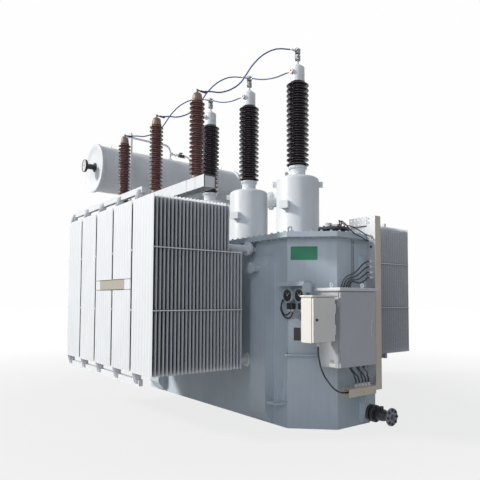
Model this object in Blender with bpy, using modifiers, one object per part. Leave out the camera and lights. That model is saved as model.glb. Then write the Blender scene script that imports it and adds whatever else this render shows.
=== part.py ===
"""Three-phase power transformer, free standing on its own base.

Metres, +Z up. X runs along the tank, towards the end that carries the control
cabinets. Y runs across it, from one radiator bank to the other. The origin is
the middle of the tank's flat base, at ground level.
"""
import math

import bmesh
import bpy
from mathutils import Matrix, Vector

# Running gap between pieces that touch
GAP = 0.0003
# How far a welded piece reaches into the one that carries it
SINK = 0.01

# Tank: a long box whose four upright corners are cut off
TANK_HALF_LENGTH = 2.11
TANK_HALF_WIDTH = 0.68
TANK_CHAMFER = 0.40
TANK_HEIGHT = 2.20
RIM_WIDTH = 0.08
RIM_THICK = 0.03
STIFFENER_WIDTH = 0.29
STIFFENER_DEPTH = 0.135
STIFFENER_FROM_END = 0.78
STIFFENER_BOTTOM = 0.03
STIFFENER_TOP = 1.98
STIFFENER_SLOPE = 0.12
STIFFENER_TOE = 0.04
LUG_PLATE = 0.03
LUG_REACH = 0.16
LUG_WIDTH = 0.16
LUG_HEIGHT = 0.30
LUG_GUSSET = 0.28
LUG_NOSE = 0.04
TRUNNION_RADIUS = 0.045
TRUNNION_REACH = 0.10
TRUNNION_HEAD_RADIUS = 0.0675
TRUNNION_HEAD_THICK = 0.015
TRUNNION_HEIGHT = 1.83

# Cover: bolted on the tank's rim
COVER_THICK = 0.03

# Radiators: five detachable units a side, each a stack of flat hollow fins
UNITS_PER_SIDE = 5
UNIT_PITCH = 0.543
UNIT_WIDTH = 0.529
FIN_PITCH = 0.045
FIN_THICK = 0.018
FIN_COUNT = 26
SHORT_FINS = 4
PIPE_RUN = 0.372
FIN_BOTTOM = 0.66
FIN_TOP = 2.558
SHORT_FIN_TOP = 2.023
FIN_HEADER = 0.07
STACK_DEPTH = (FIN_COUNT - 1) * FIN_PITCH + FIN_THICK
BANK_OUTER = TANK_HALF_WIDTH + PIPE_RUN + STACK_DEPTH
PIPE_RADIUS = 0.05
PIPE_SIDES = 8
UPPER_PIPE_HEIGHT = 2.085
LOWER_PIPE_HEIGHT = 0.72
PIPE_FLANGE_RADIUS = 0.085
PIPE_FLANGE_THICK = 0.04
PIPE_FLANGE_OFFSET = 0.08
RAIL_HEIGHT = 0.07
RAIL_THICK = 0.045
RAIL_INSET = 0.05
RAIL_STANDOFF = 0.07
POST_SHIFT = 0.19
POST_WIDTH = 0.06

# High-voltage bushings: three turrets in a row on the cover
PHASE_PITCH = 1.06
PHASE_MIDDLE_X = 0.18
PHASE_Y = -0.08
TURRET_RADIUS = 0.28
TURRET_FLANGE_RADIUS = 0.34
TURRET_FLANGE_THICK = 0.03
TURRET_HEIGHT = 0.78
TURRET_SHOULDER = 0.05
COLLAR_RADIUS = 0.12
COLLAR_HEIGHT = 0.14
ROUND_SIDES = 24
SHED_SIDES = 12
SHED_DROP = 0.68
HV_SHEDS = 17
HV_PORCELAIN = 1.13
HV_CORE_RADIUS = 0.095
HV_SHED_RADIUS = 0.148
HV_HEAD_RADIUS = 0.098
HV_HEAD_HEIGHT = 0.26
HV_HEAD_CONE = 0.06
HV_STEM_RADIUS = 0.018
HV_STEM_HEIGHT = 0.05
CLAMP_WIDTH = 0.07
CLAMP_DEPTH = 0.045
CLAMP_HEIGHT = 0.18
CLAMP_SINK = 0.02

# Neutral bushing: a shorter one behind the row
NEUTRAL_X = 0.46
NEUTRAL_Y = 0.42
NEUTRAL_BASE_RADIUS = 0.10
NEUTRAL_BASE_HEIGHT = 0.42
NEUTRAL_SHEDS = 8
NEUTRAL_PORCELAIN = 0.42
NEUTRAL_CORE_RADIUS = 0.065
NEUTRAL_SHED_RADIUS = 0.105
NEUTRAL_HEAD_RADIUS = 0.07
NEUTRAL_HEAD_HEIGHT = 0.20
NEUTRAL_HEAD_CONE = 0.04
NEUTRAL_STUD_RADIUS = 0.015
NEUTRAL_STUD_HEIGHT = 0.10
NEUTRAL_FLANGE_RADIUS = 0.14
NEUTRAL_FLANGE_THICK = 0.02

# Surge arresters: brown porcelain posts on a beam above one radiator bank
ARRESTER_PITCH = 1.06
ARRESTER_MIDDLE_X = -0.12
ARRESTER_Y = -1.44
ARRESTER_SHEDS = 17
ARRESTER_PORCELAIN = 0.90
ARRESTER_CORE_RADIUS = 0.058
ARRESTER_SHED_RADIUS = 0.092
ARRESTER_CAP_RADIUS = 0.05
ARRESTER_CAP_HEIGHT = 0.10
ARRESTER_FOOT_RADIUS = 0.075
ARRESTER_FOOT_HEIGHT = 0.05
STUD_RADIUS = 0.012
STUD_HEIGHT = 0.05
BEAM_TOP = 2.88
BEAM_HEIGHT = 0.14
BEAM_WIDTH = 0.16
BEAM_WALL = 0.012
BEAM_OVERHANG = 0.29
BRACKET_SIZE = 0.08
BRACKET_POST_Y = -0.66
BRACKET_KNEE_RUN = 0.28
BRACKET_KNEE_DROP = 0.16

# Conservator: a drum across the far end, on two frames
DRUM_FROM_END = 0.11
DRUM_X = DRUM_FROM_END - TANK_HALF_LENGTH
DRUM_Z = 3.60
DRUM_RADIUS = 0.375
DRUM_LOW_Y = -1.62
DRUM_HIGH_Y = 1.12
DRUM_FLANGE_RADIUS = 0.395
DRUM_FLANGE_THICK = 0.03
DRUM_END_THICK = 0.02
DRUM_SIDES = 32
SADDLE_Y = 0.34
SADDLE_WIDTH = 0.08
SADDLE_BACK = 0.12
SADDLE_FRONT = 0.26
SADDLE_SINK = 0.10
OIL_GAUGE_RADIUS = 0.10
OIL_GAUGE_DEPTH = 0.18
OIL_GAUGE_DIAL = 0.035
OIL_GAUGE_NECK = 0.045
OIL_GAUGE_SHIFT = 0.05
VENT_RADIUS = 0.018
VENT_RISE = 0.26
VENT_FAR_Y = -1.14
VENT_NEAR_Y = -0.225
FEED_RISE = 0.12
FEED_VALVE_Y = 0.00
FEED_VALVE_RADIUS = 0.042
FEED_VALVE_LENGTH = 0.09
FEED_FAR_Y = 0.185
BREATHER_CLEAR = 0.055
BREATHER_Y = -1.16
BREATHER_TOP = 4.19
BREATHER_STUB = 0.06
BREATHER_FOOT = 2.72
BREATHER_POT_RADIUS = 0.06
BREATHER_POT_HEIGHT = 0.26

# Control cabinet: sheet steel shell with a lid and a hinged door
CABINET_STANDOFF = 0.06
CABINET_DEPTH = 0.31
CABINET_LOW_X = TANK_HALF_LENGTH + CABINET_STANDOFF
CABINET_HIGH_X = CABINET_LOW_X + CABINET_DEPTH
CABINET_LOW_Y = -0.64
CABINET_HIGH_Y = -0.06
CABINET_BOTTOM = 0.75
CABINET_TOP = 1.55
LID_OVERHANG = 0.025
LID_THICK = 0.035
HANDLE_HEIGHT = 0.14
HANDLE_WIDTH = 0.025
HANDLE_DEPTH = 0.02
HANDLE_FROM_EDGE = 0.05

# Small cabinet: beside the control cabinet, which carries it
SMALL_DEPTH = 0.17
SMALL_WIDTH = 0.32
SMALL_GAP = 0.07
SMALL_HIGH_X = CABINET_HIGH_X
SMALL_LOW_X = SMALL_HIGH_X - SMALL_DEPTH
SMALL_HIGH_Y = CABINET_LOW_Y - SMALL_GAP
SMALL_LOW_Y = SMALL_HIGH_Y - SMALL_WIDTH
SMALL_BOTTOM = 1.03
SMALL_TOP = 1.485
LOCK_RADIUS = 0.012
LOCK_DEPTH = 0.012

# Both cabinets: sheet, doors and hinges
SHEET = 0.012
DOOR_THICK = 0.02
DOOR_CLEAR = 0.006
KNUCKLE_RADIUS = 0.008
KNUCKLE_LENGTH = 0.05
KNUCKLE_OFFSET = 0.009
HINGE_INSET = 0.12
BRACKET_LENGTH = 0.06
BRACKET_DROP = 0.08

# Stiffener on the end wall, beside the riser
END_STIFFENER_DEPTH = 0.085
END_STIFFENER_LOW_Y = 0.095
END_STIFFENER_HIGH_Y = 0.275

# Cable riser: folded galvanised channel, stood off the end stiffener, with glands in
# its web, a short tray at its head and a gland rack at its foot
RISER_STANDOFF = 0.012
RISER_DEPTH = 0.12
RISER_WIDTH = 0.10
RISER_LOW_Y = 0.13
RISER_SHEET = 0.006
RISER_BOTTOM = 0.43
RISER_TOP = 2.44
RISER_FEET = (0.60, 1.60)
RISER_FOOT_HEIGHT = 0.06
TRAY_LENGTH = 0.27
TRAY_HEIGHT = 0.105
GLAND_RADIUS = 0.017
GLAND_REACH = 0.035
UPPER_GLANDS = (2.207, 2.144)
LOWER_GLANDS = (1.903, 1.840, 1.777, 1.714)
RACK_LENGTH = 0.46
RACK_DEPTH = 0.10
RACK_HEIGHT = 0.095
RACK_BOTTOM = 0.39
RACK_GLANDS = 5
RACK_GLAND_PITCH = 0.055
RACK_GLAND_FROM_RISER = 0.06

# Dial hood and instrument box on the near cut corner of the tank
HOOD_WIDTH = 0.29
HOOD_REACH = 0.15
HOOD_TOP = 1.66
HOOD_DROP = 0.04
HOOD_CHEEK = 0.13
HOOD_SHEET = 0.006
HOOD_BACK_DROP = 0.27
DIAL_RADIUS = 0.053
DIAL_DEPTH = 0.045
DIAL_NECK = 0.03
DIAL_NECK_RADIUS = 0.022
DIAL_HEIGHT = 1.508
DIAL_PLACES = (0.055, 0.18)
BOX_START = 0.011
BOX_WIDTH = 0.36
BOX_DEPTH = 0.06
BOX_BOTTOM = 0.846
BOX_HEIGHT = 0.40
BOX_LEDGE = 0.035
BOX_LEDGE_THICK = 0.02
WINDOW_START = 0.075
WINDOW_WIDTH = 0.08
WINDOW_BOTTOM = 0.995
WINDOW_HEIGHT = 0.148
WINDOW_SINK = 0.012

# Turret fittings: a flanged port, a terminal box and two lifting lugs on each turret
PORT_ANGLE = 215
PORT_RADIUS = 0.085
PORT_REACH = 0.10
PORT_FLANGE_RADIUS = 0.12
PORT_FLANGE_THICK = 0.035
PORT_DROP = 0.24
OUTLET_ANGLE = 285
OUTLET_WIDTH = 0.12
OUTLET_HEIGHT = 0.09
OUTLET_REACH = 0.06
OUTLET_DROP = 0.30
TURRET_LUG_ANGLES = (50, 230)
TURRET_LUG_WIDTH = 0.09
TURRET_LUG_REACH = 0.05
TURRET_LUG_THICK = 0.014
TURRET_LUG_HOLE = 0.018

# Hatch on the cover between the near turret and the end, with a relief valve on it
HATCH_X = 1.87
HATCH_Y = -0.075
HATCH_RADIUS = 0.19
HATCH_HEIGHT = 0.09
RELIEF_RADIUS = 0.045
RELIEF_HEIGHT = 0.055
RELIEF_SHIFT = 0.09

# Line leads: insulated stranded copper, held at both ends
LEAD_RADIUS = 0.009
LEAD_STEPS = 26
LEAD_GAP = 2 * GAP
LEAD_STRAIGHT = 0.05
PLATE_RADIUS = 0.035
PLATE_REACH = 0.025
PLATE_HEIGHT = 0.135
ARRESTER_LEAD_DROP = 0.012
CLAMP_LEAD_DROP = 0.045
CROSS_LEAD_DROP = 0.06
RISING_LEAD = (
    (0.0, 0.0), (0.10, 0.02), (0.19, 0.03), (0.30, 0.09), (0.40, 0.19), (0.47, 0.32), (0.54, 0.455),
    (0.655, 0.61), (0.81, 0.725), (1.0, 0.765))
LEAD_SPAN_RISE = 0.765
CROSS_LEAD_SAG = 0.045

# Drain valve on the end wall
VALVE_Y = 0.19
VALVE_Z = 0.145
VALVE_PIPE_RADIUS = 0.05
VALVE_FLANGE_RADIUS = 0.10
VALVE_FLANGE_THICK = 0.03
VALVE_REACH = 0.32
VALVE_BODY = 0.055
VALVE_SIDES = 16

model = bpy.data.collections.new("power_transformer")
shapes = bpy.data.collections.new("joining_and_cutting_shapes")


def clear_scene():
    for item in list(bpy.data.objects):
        bpy.data.objects.remove(item, do_unlink=True)
    bpy.context.scene.collection.children.link(model)
    bpy.context.scene.collection.children.link(shapes)


def paint(name, colour, roughness, metallic=0.0):
    material = bpy.data.materials.new(name)
    material.use_nodes = True
    shader = material.node_tree.nodes["Principled BSDF"]
    shader.inputs["Base Color"].default_value = (*colour, 1.0)
    shader.inputs["Roughness"].default_value = roughness
    shader.inputs["Metallic"].default_value = metallic
    return material


def place(name, mesh, material=None, collection=model):
    item = bpy.data.objects.new(name, mesh)
    if material is not None:
        mesh.materials.clear()
        mesh.materials.append(material)
    collection.objects.link(item)
    return item


def box(name, low, high, material=None, collection=model):
    """A rectangular block between two opposite corners."""
    work = bmesh.new()
    bmesh.ops.create_cube(work, size=1.0)
    size = [b - a for a, b in zip(low, high)]
    middle = [(a + b) / 2 for a, b in zip(low, high)]
    bmesh.ops.scale(work, vec=size, verts=work.verts)
    bmesh.ops.translate(work, vec=middle, verts=work.verts)
    mesh = bpy.data.meshes.new(name)
    work.to_mesh(mesh)
    work.free()
    return place(name, mesh, material, collection)


def rod(name, start, end, radius, sides, material=None, collection=model):
    """A straight round bar between two points."""
    axis = Vector(end) - Vector(start)
    work = bmesh.new()
    bmesh.ops.create_cone(
        work, cap_ends=True, segments=sides, radius1=radius, radius2=radius, depth=axis.length)
    turn = axis.to_track_quat("Z", "Y").to_matrix().to_4x4()
    move = Matrix.Translation((Vector(start) + Vector(end)) / 2)
    bmesh.ops.transform(work, matrix=move @ turn, verts=work.verts)
    mesh = bpy.data.meshes.new(name)
    work.to_mesh(mesh)
    work.free()
    mesh.shade_smooth()
    mesh.set_sharp_from_angle(angle=math.radians(40))
    return place(name, mesh, material, collection)


def solid_mesh(item):
    """The evaluated mesh of an object, with doubled corners merged."""
    bpy.context.view_layer.update()
    graph = bpy.context.evaluated_depsgraph_get()
    mesh = bpy.data.meshes.new_from_object(item.evaluated_get(graph))
    work = bmesh.new()
    work.from_mesh(mesh)
    bmesh.ops.transform(work, matrix=item.matrix_world, verts=work.verts)
    bmesh.ops.remove_doubles(work, verts=work.verts, dist=0.0001)
    bmesh.ops.recalc_face_normals(work, faces=work.faces)
    work.to_mesh(mesh)
    work.free()
    return mesh


def plate(name, outlines, thickness, matrix, material=None, collection=model):
    """A flat outline, with any holes, extruded to a thickness along local Z."""
    curve = bpy.data.curves.new(name, "CURVE")
    curve.dimensions = "2D"
    curve.fill_mode = "BOTH"
    curve.extrude = thickness / 2
    for outline in outlines:
        spline = curve.splines.new("POLY")
        spline.points.add(len(outline) - 1)
        for point, (across, along) in zip(spline.points, outline):
            point.co = (across, along, 0.0, 1.0)
        spline.use_cyclic_u = True
    guide = bpy.data.objects.new(name + "_outline", curve)
    shapes.objects.link(guide)
    guide.matrix_world = matrix
    mesh = solid_mesh(guide)
    bpy.data.objects.remove(guide, do_unlink=True)
    mesh.name = name
    return place(name, mesh, material, collection)


def rectangle(low_a, high_a, low_b, high_b):
    return [(low_a, low_b), (high_a, low_b), (high_a, high_b), (low_a, high_b)]


def turned(name, profile, centre, sides, material=None, collection=model):
    """A shape turned about a vertical axis, from (radius, height) pairs, top to bottom."""
    mesh = bpy.data.meshes.new(name)
    work = bmesh.new()
    corners = [work.verts.new((radius, 0.0, height)) for radius, height in profile]
    for upper, lower in zip(corners, corners[1:]):
        work.edges.new((upper, lower))
    work.to_mesh(mesh)
    work.free()
    item = place(name, mesh, material, collection)
    screw = item.modifiers.new("turn", "SCREW")
    screw.axis = "Z"
    screw.steps = sides
    screw.render_steps = sides
    screw.use_merge_vertices = True
    screw.merge_threshold = 0.00005
    item.location = centre
    finished = solid_mesh(item)
    bpy.data.objects.remove(item, do_unlink=True)
    finished.name = name
    finished.shade_smooth()
    finished.set_sharp_from_angle(angle=math.radians(35))
    return place(name, finished, material, collection)


def combine(body, operation, others, solver="EXACT"):
    """Join other shapes to a body, or cut them out of it."""
    for other in others:
        step = body.modifiers.new(operation.lower(), "BOOLEAN")
        step.operation = operation
        step.solver = solver
        step.object = other
        bpy.context.view_layer.update()
        graph = bpy.context.evaluated_depsgraph_get()
        mesh = bpy.data.meshes.new_from_object(body.evaluated_get(graph))
        body.modifiers.clear()
        body.data = mesh
        bpy.data.objects.remove(other, do_unlink=True)
    return body


def octagon(half_length, half_width, chamfer):
    """Plan of the tank: a rectangle with its four corners cut off."""
    inner_x = half_length - chamfer
    inner_y = half_width - chamfer
    return [
        (half_length, -inner_y), (half_length, inner_y), (inner_x, half_width), (-inner_x, half_width),
        (-half_length, inner_y), (-half_length, -inner_y), (-inner_x, -half_width), (inner_x, -half_width)]


def make_tank(steel):
    """Welded tank with its rim, corner stiffeners, jacking lugs and lifting trunnions."""
    body = plate(
        "tank_body", [octagon(TANK_HALF_LENGTH, TANK_HALF_WIDTH, TANK_CHAMFER)], TANK_HEIGHT,
        Matrix.Translation((0, 0, TANK_HEIGHT / 2)), steel)
    rim = plate(
        "rim", [octagon(TANK_HALF_LENGTH + RIM_WIDTH, TANK_HALF_WIDTH + RIM_WIDTH, TANK_CHAMFER)],
        RIM_THICK, Matrix.Translation((0, 0, TANK_HEIGHT - RIM_THICK / 2)), steel, shapes)
    parts = [rim]
    high_x = TANK_HALF_LENGTH - STIFFENER_FROM_END + STIFFENER_WIDTH / 2
    low_x = high_x - STIFFENER_WIDTH
    outer = TANK_HALF_WIDTH + STIFFENER_DEPTH
    side = [
        (TANK_HALF_WIDTH - SINK, STIFFENER_BOTTOM),
        (TANK_HALF_WIDTH + STIFFENER_TOE, STIFFENER_BOTTOM),
        (outer, STIFFENER_BOTTOM + STIFFENER_SLOPE),
        (outer, STIFFENER_TOP - STIFFENER_SLOPE),
        (TANK_HALF_WIDTH + STIFFENER_TOE, STIFFENER_TOP),
        (TANK_HALF_WIDTH - SINK, STIFFENER_TOP)]
    lug_x = TANK_HALF_LENGTH - TANK_CHAMFER - LUG_WIDTH / 2 - SINK
    lug_side = [
        (TANK_HALF_WIDTH - SINK, LUG_HEIGHT),
        (TANK_HALF_WIDTH + LUG_REACH - LUG_NOSE, LUG_HEIGHT),
        (TANK_HALF_WIDTH - SINK, LUG_HEIGHT + LUG_GUSSET)]
    for end in (1, -1):
        for face in (1, -1):
            stand = Matrix(((0, 0, 1, 0), (face, 0, 0, 0), (0, 1, 0, 0), (0, 0, 0, 1)))
            middle = end * (low_x + high_x) / 2
            parts.append(plate(
                "stiffener", [side], STIFFENER_WIDTH, Matrix.Translation((middle, 0, 0)) @ stand,
                steel, shapes))
            parts.append(rod(
                "trunnion", (middle, face * (outer - SINK), TRUNNION_HEIGHT),
                (middle, face * (outer + TRUNNION_REACH), TRUNNION_HEIGHT),
                TRUNNION_RADIUS, PIPE_SIDES, steel, shapes))
            parts.append(rod(
                "trunnion_head", (middle, face * (outer + TRUNNION_REACH - SINK), TRUNNION_HEIGHT),
                (middle, face * (outer + TRUNNION_REACH + TRUNNION_HEAD_THICK), TRUNNION_HEIGHT),
                TRUNNION_HEAD_RADIUS, PIPE_SIDES, steel, shapes))
            reach = sorted((face * (TANK_HALF_WIDTH - SINK), face * (TANK_HALF_WIDTH + LUG_REACH)))
            across = sorted((end * (lug_x - LUG_WIDTH / 2), end * (lug_x + LUG_WIDTH / 2)))
            parts.append(box(
                "lug", (across[0], reach[0], LUG_HEIGHT - LUG_PLATE), (across[1], reach[1], LUG_HEIGHT),
                steel, shapes))
            parts.append(plate(
                "lug_gusset", [lug_side], LUG_PLATE, Matrix.Translation((end * lug_x, 0, -SINK)) @ stand,
                steel, shapes))
    wedge = [
        (TANK_HALF_LENGTH - SINK, STIFFENER_BOTTOM),
        (TANK_HALF_LENGTH + STIFFENER_TOE, STIFFENER_BOTTOM),
        (TANK_HALF_LENGTH + END_STIFFENER_DEPTH, STIFFENER_BOTTOM + STIFFENER_SLOPE),
        (TANK_HALF_LENGTH + END_STIFFENER_DEPTH, STIFFENER_TOP - STIFFENER_SLOPE),
        (TANK_HALF_LENGTH + STIFFENER_TOE, STIFFENER_TOP),
        (TANK_HALF_LENGTH - SINK, STIFFENER_TOP)]
    across = Matrix(((1, 0, 0, 0), (0, 0, -1, 0), (0, 1, 0, 0), (0, 0, 0, 1)))
    middle = (END_STIFFENER_LOW_Y + END_STIFFENER_HIGH_Y) / 2
    parts.append(plate(
        "end_stiffener", [wedge], END_STIFFENER_HIGH_Y - END_STIFFENER_LOW_Y,
        Matrix.Translation((0, middle, 0)) @ across, steel, shapes))
    return combine(body, "UNION", parts)


def make_cover(steel):
    low = TANK_HEIGHT + GAP
    return plate(
        "tank_cover", [octagon(TANK_HALF_LENGTH + RIM_WIDTH, TANK_HALF_WIDTH + RIM_WIDTH, TANK_CHAMFER)],
        COVER_THICK, Matrix.Translation((0, 0, low + COVER_THICK / 2)), steel)


COVER_TOP = TANK_HEIGHT + GAP + COVER_THICK


def radiator_outlines():
    """Side view of one unit, as distances from the bank's outer face and heights, with its slots."""
    tall_fins = FIN_COUNT - SHORT_FINS
    tall = (tall_fins - 1) * FIN_PITCH + FIN_THICK
    outer = [
        (0, FIN_BOTTOM), (STACK_DEPTH, FIN_BOTTOM), (STACK_DEPTH, SHORT_FIN_TOP), (tall, SHORT_FIN_TOP),
        (tall, FIN_TOP), (0, FIN_TOP)]
    slots = []
    for index in range(FIN_COUNT - 1):
        start = index * FIN_PITCH + FIN_THICK
        stop = (index + 1) * FIN_PITCH
        top = FIN_TOP if index < tall_fins - 1 else SHORT_FIN_TOP
        slots.append(rectangle(start, stop, FIN_BOTTOM + FIN_HEADER, top - FIN_HEADER))
    return [outer] + slots, tall


def make_radiators(enamel):
    """Ten units: the fins with their headers, and the two flanged pipes to the tank wall."""
    outlines, tall = radiator_outlines()
    wall = TANK_HALF_WIDTH + GAP
    flange = wall + PIPE_FLANGE_OFFSET
    for label, face in (("left", -1), ("right", 1)):
        for index in range(UNITS_PER_SIDE):
            middle = (UNITS_PER_SIDE - 1) / 2 * UNIT_PITCH - index * UNIT_PITCH
            turn = Matrix(((0, 0, 1, middle), (-face, 0, 0, face * BANK_OUTER), (0, 1, 0, 0), (0, 0, 0, 1)))
            unit = plate(f"radiator_{label}_{index + 1}", outlines, UNIT_WIDTH, turn, enamel)
            pipes = []
            for height, inner in ((UPPER_PIPE_HEIGHT, tall), (LOWER_PIPE_HEIGHT, STACK_DEPTH)):
                pipes.append(rod(
                    "pipe", (middle, face * wall, height),
                    (middle, face * (BANK_OUTER - inner + FIN_THICK / 2), height),
                    PIPE_RADIUS, PIPE_SIDES, enamel, shapes))
                pipes.append(rod(
                    "pipe_flange", (middle, face * flange, height),
                    (middle, face * (flange + PIPE_FLANGE_THICK), height),
                    PIPE_FLANGE_RADIUS, PIPE_SIDES, enamel, shapes))
            combine(unit, "UNION", pipes, "MANIFOLD")


def make_rails(enamel):
    """Tie rails along the outer top and bottom edges of each bank, on short posts."""
    first = (UNITS_PER_SIDE - 1) / 2 * UNIT_PITCH - POST_SHIFT
    last = -(UNITS_PER_SIDE - 1) / 2 * UNIT_PITCH - POST_SHIFT
    for label, face in (("left", -1), ("right", 1)):
        outer = face * (BANK_OUTER - RAIL_INSET)
        inner = outer - face * RAIL_THICK
        low_y, high_y = sorted((outer, inner))
        for level, base, direction in (("top", FIN_TOP + GAP, 1), ("bottom", FIN_BOTTOM - GAP, -1)):
            near = base + direction * RAIL_STANDOFF
            far = near + direction * RAIL_HEIGHT
            low_z, high_z = sorted((near, far))
            rail = box(
                f"radiator_rail_{label}_{level}", (last - POST_WIDTH, low_y, low_z),
                (first + POST_WIDTH, high_y, high_z), enamel)
            posts = []
            for index in range(UNITS_PER_SIDE):
                x = first - index * UNIT_PITCH
                foot = sorted((base, near + direction * RAIL_HEIGHT / 4))
                posts.append(box(
                    "post", (x - POST_WIDTH / 2, low_y + RAIL_THICK / 8, foot[0]),
                    (x + POST_WIDTH / 2, high_y - RAIL_THICK / 8, foot[1]), enamel, shapes))
            combine(rail, "UNION", posts)


def shed_profile(top, height, core, tip, sheds):
    """Outer line of a porcelain insulator, top to bottom, as (radius, height) pairs."""
    pitch = height / sheds
    line = [(core, top)]
    for index in range(sheds):
        level = top - index * pitch
        line.append((tip, level - pitch * SHED_DROP))
        line.append((core, level - pitch))
    return line


def fit_turret(turret, centre, shoulder, enamel):
    """The flanged port, terminal box and lifting lugs welded to a turret."""
    def outwards(angle):
        turn = math.radians(angle)
        return Vector((math.cos(turn), math.sin(turn), 0))

    port = centre + Vector((0, 0, shoulder - PORT_DROP))
    away = outwards(PORT_ANGLE)
    sunk = TURRET_RADIUS - PORT_RADIUS / 4
    end = TURRET_RADIUS + PORT_REACH
    parts = [
        rod("port", port + away * sunk, port + away * end, PORT_RADIUS, 16, enamel, shapes),
        rod("port_flange", port + away * (end - PORT_FLANGE_THICK), port + away * (end + GAP),
            PORT_FLANGE_RADIUS, 16, enamel, shapes)]
    outlet = box(
        "outlet", (TURRET_RADIUS * 0.9, -OUTLET_WIDTH / 2, shoulder - OUTLET_DROP),
        (TURRET_RADIUS + OUTLET_REACH, OUTLET_WIDTH / 2, shoulder - OUTLET_DROP + OUTLET_HEIGHT), enamel,
        shapes)
    outlet.data.transform(Matrix.Translation(centre) @ Matrix.Rotation(math.radians(OUTLET_ANGLE), 4, "Z"))
    parts.append(outlet)
    reach = TURRET_RADIUS + TURRET_LUG_REACH
    eye = [(TURRET_RADIUS + TURRET_LUG_REACH / 2 + TURRET_LUG_HOLE * math.cos(step * math.pi / 4),
            shoulder - TURRET_LUG_WIDTH / 2 + TURRET_LUG_HOLE * math.sin(step * math.pi / 4))
           for step in range(8)]
    outline = [
        (TURRET_RADIUS * 0.95, shoulder - TURRET_LUG_WIDTH), (reach, shoulder - TURRET_LUG_WIDTH * 0.7),
        (reach, shoulder - TURRET_LUG_WIDTH * 0.3), (TURRET_RADIUS * 0.95, shoulder)]
    upright = Matrix(((1, 0, 0, 0), (0, 0, -1, 0), (0, 1, 0, 0), (0, 0, 0, 1)))
    for angle in TURRET_LUG_ANGLES:
        parts.append(plate(
            "lug", [outline, eye], TURRET_LUG_THICK,
            Matrix.Translation(centre) @ Matrix.Rotation(math.radians(angle), 4, "Z") @ upright, enamel,
            shapes))
    combine(turret, "UNION", parts)


def make_phase(letter, x, enamel, porcelain, aluminium):
    """One turret, its porcelain insulator and the metal head with its terminal clamp."""
    base = COVER_TOP + GAP
    shoulder = base + TURRET_HEIGHT
    collar_top = shoulder + TURRET_SHOULDER + COLLAR_HEIGHT
    turret = turned(f"hv_turret_{letter}", [
        (0, collar_top), (COLLAR_RADIUS, collar_top), (COLLAR_RADIUS, shoulder + TURRET_SHOULDER),
        (TURRET_RADIUS * 0.88, shoulder + TURRET_SHOULDER * 0.7), (TURRET_RADIUS, shoulder),
        (TURRET_RADIUS, base + TURRET_FLANGE_THICK), (TURRET_FLANGE_RADIUS, base + TURRET_FLANGE_THICK),
        (TURRET_FLANGE_RADIUS, base), (0, base)], (x, PHASE_Y, 0), ROUND_SIDES, enamel)
    fit_turret(turret, Vector((x, PHASE_Y, 0)), shoulder, enamel)
    foot = collar_top + GAP
    top = foot + HV_PORCELAIN
    line = shed_profile(top, HV_PORCELAIN, HV_CORE_RADIUS, HV_SHED_RADIUS, HV_SHEDS)
    turned(f"hv_bushing_{letter}", [(0, top)] + line + [(0, foot)], (x, PHASE_Y, 0), SHED_SIDES, porcelain)
    low = top + GAP
    high = low + HV_HEAD_HEIGHT
    head = turned(f"hv_head_{letter}", [
        (0, high), (HV_STEM_RADIUS, high), (HV_STEM_RADIUS, high - SINK),
        (HV_HEAD_RADIUS, high - HV_HEAD_CONE),
        (HV_HEAD_RADIUS, low), (0, low)], (x, PHASE_Y, 0), 16, aluminium)
    stem = rod(
        "stem", (x, PHASE_Y, high - 2 * SINK), (x, PHASE_Y, high + HV_STEM_HEIGHT), HV_STEM_RADIUS * 0.8, 8,
        aluminium, shapes)
    clamp_low = high + HV_STEM_HEIGHT - CLAMP_SINK
    clamp = box(
        "clamp", (x - CLAMP_DEPTH / 2, PHASE_Y - CLAMP_WIDTH / 2, clamp_low),
        (x + CLAMP_DEPTH / 2, PHASE_Y + CLAMP_WIDTH / 2, clamp_low + CLAMP_HEIGHT), aluminium, shapes)
    side_plate = rod(
        "side_plate", (x, PHASE_Y - HV_HEAD_RADIUS * 0.9, low + PLATE_HEIGHT),
        (x, PHASE_Y - HV_HEAD_RADIUS - PLATE_REACH, low + PLATE_HEIGHT), PLATE_RADIUS, 16, aluminium, shapes)
    combine(head, "UNION", [stem, clamp, side_plate])


def make_neutral(enamel, porcelain, aluminium):
    base = COVER_TOP + GAP
    pedestal = base + NEUTRAL_BASE_HEIGHT
    turned("neutral_pedestal", [
        (0, pedestal), (NEUTRAL_BASE_RADIUS, pedestal), (NEUTRAL_BASE_RADIUS, base + NEUTRAL_FLANGE_THICK),
        (NEUTRAL_FLANGE_RADIUS, base + NEUTRAL_FLANGE_THICK), (NEUTRAL_FLANGE_RADIUS, base), (0, base)],
        (NEUTRAL_X, NEUTRAL_Y, 0), 16, enamel)
    foot = pedestal + GAP
    top = foot + NEUTRAL_PORCELAIN
    line = shed_profile(top, NEUTRAL_PORCELAIN, NEUTRAL_CORE_RADIUS, NEUTRAL_SHED_RADIUS, NEUTRAL_SHEDS)
    turned(
        "neutral_bushing", [(0, top)] + line + [(0, foot)], (NEUTRAL_X, NEUTRAL_Y, 0), SHED_SIDES, porcelain)
    low = top + GAP
    high = low + NEUTRAL_HEAD_HEIGHT
    turned("neutral_head", [
        (0, high + NEUTRAL_STUD_HEIGHT), (NEUTRAL_STUD_RADIUS, high + NEUTRAL_STUD_HEIGHT),
        (NEUTRAL_STUD_RADIUS, high), (NEUTRAL_HEAD_RADIUS, high - NEUTRAL_HEAD_CONE),
        (NEUTRAL_HEAD_RADIUS, low), (0, low)], (NEUTRAL_X, NEUTRAL_Y, 0), 16, aluminium)


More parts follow.
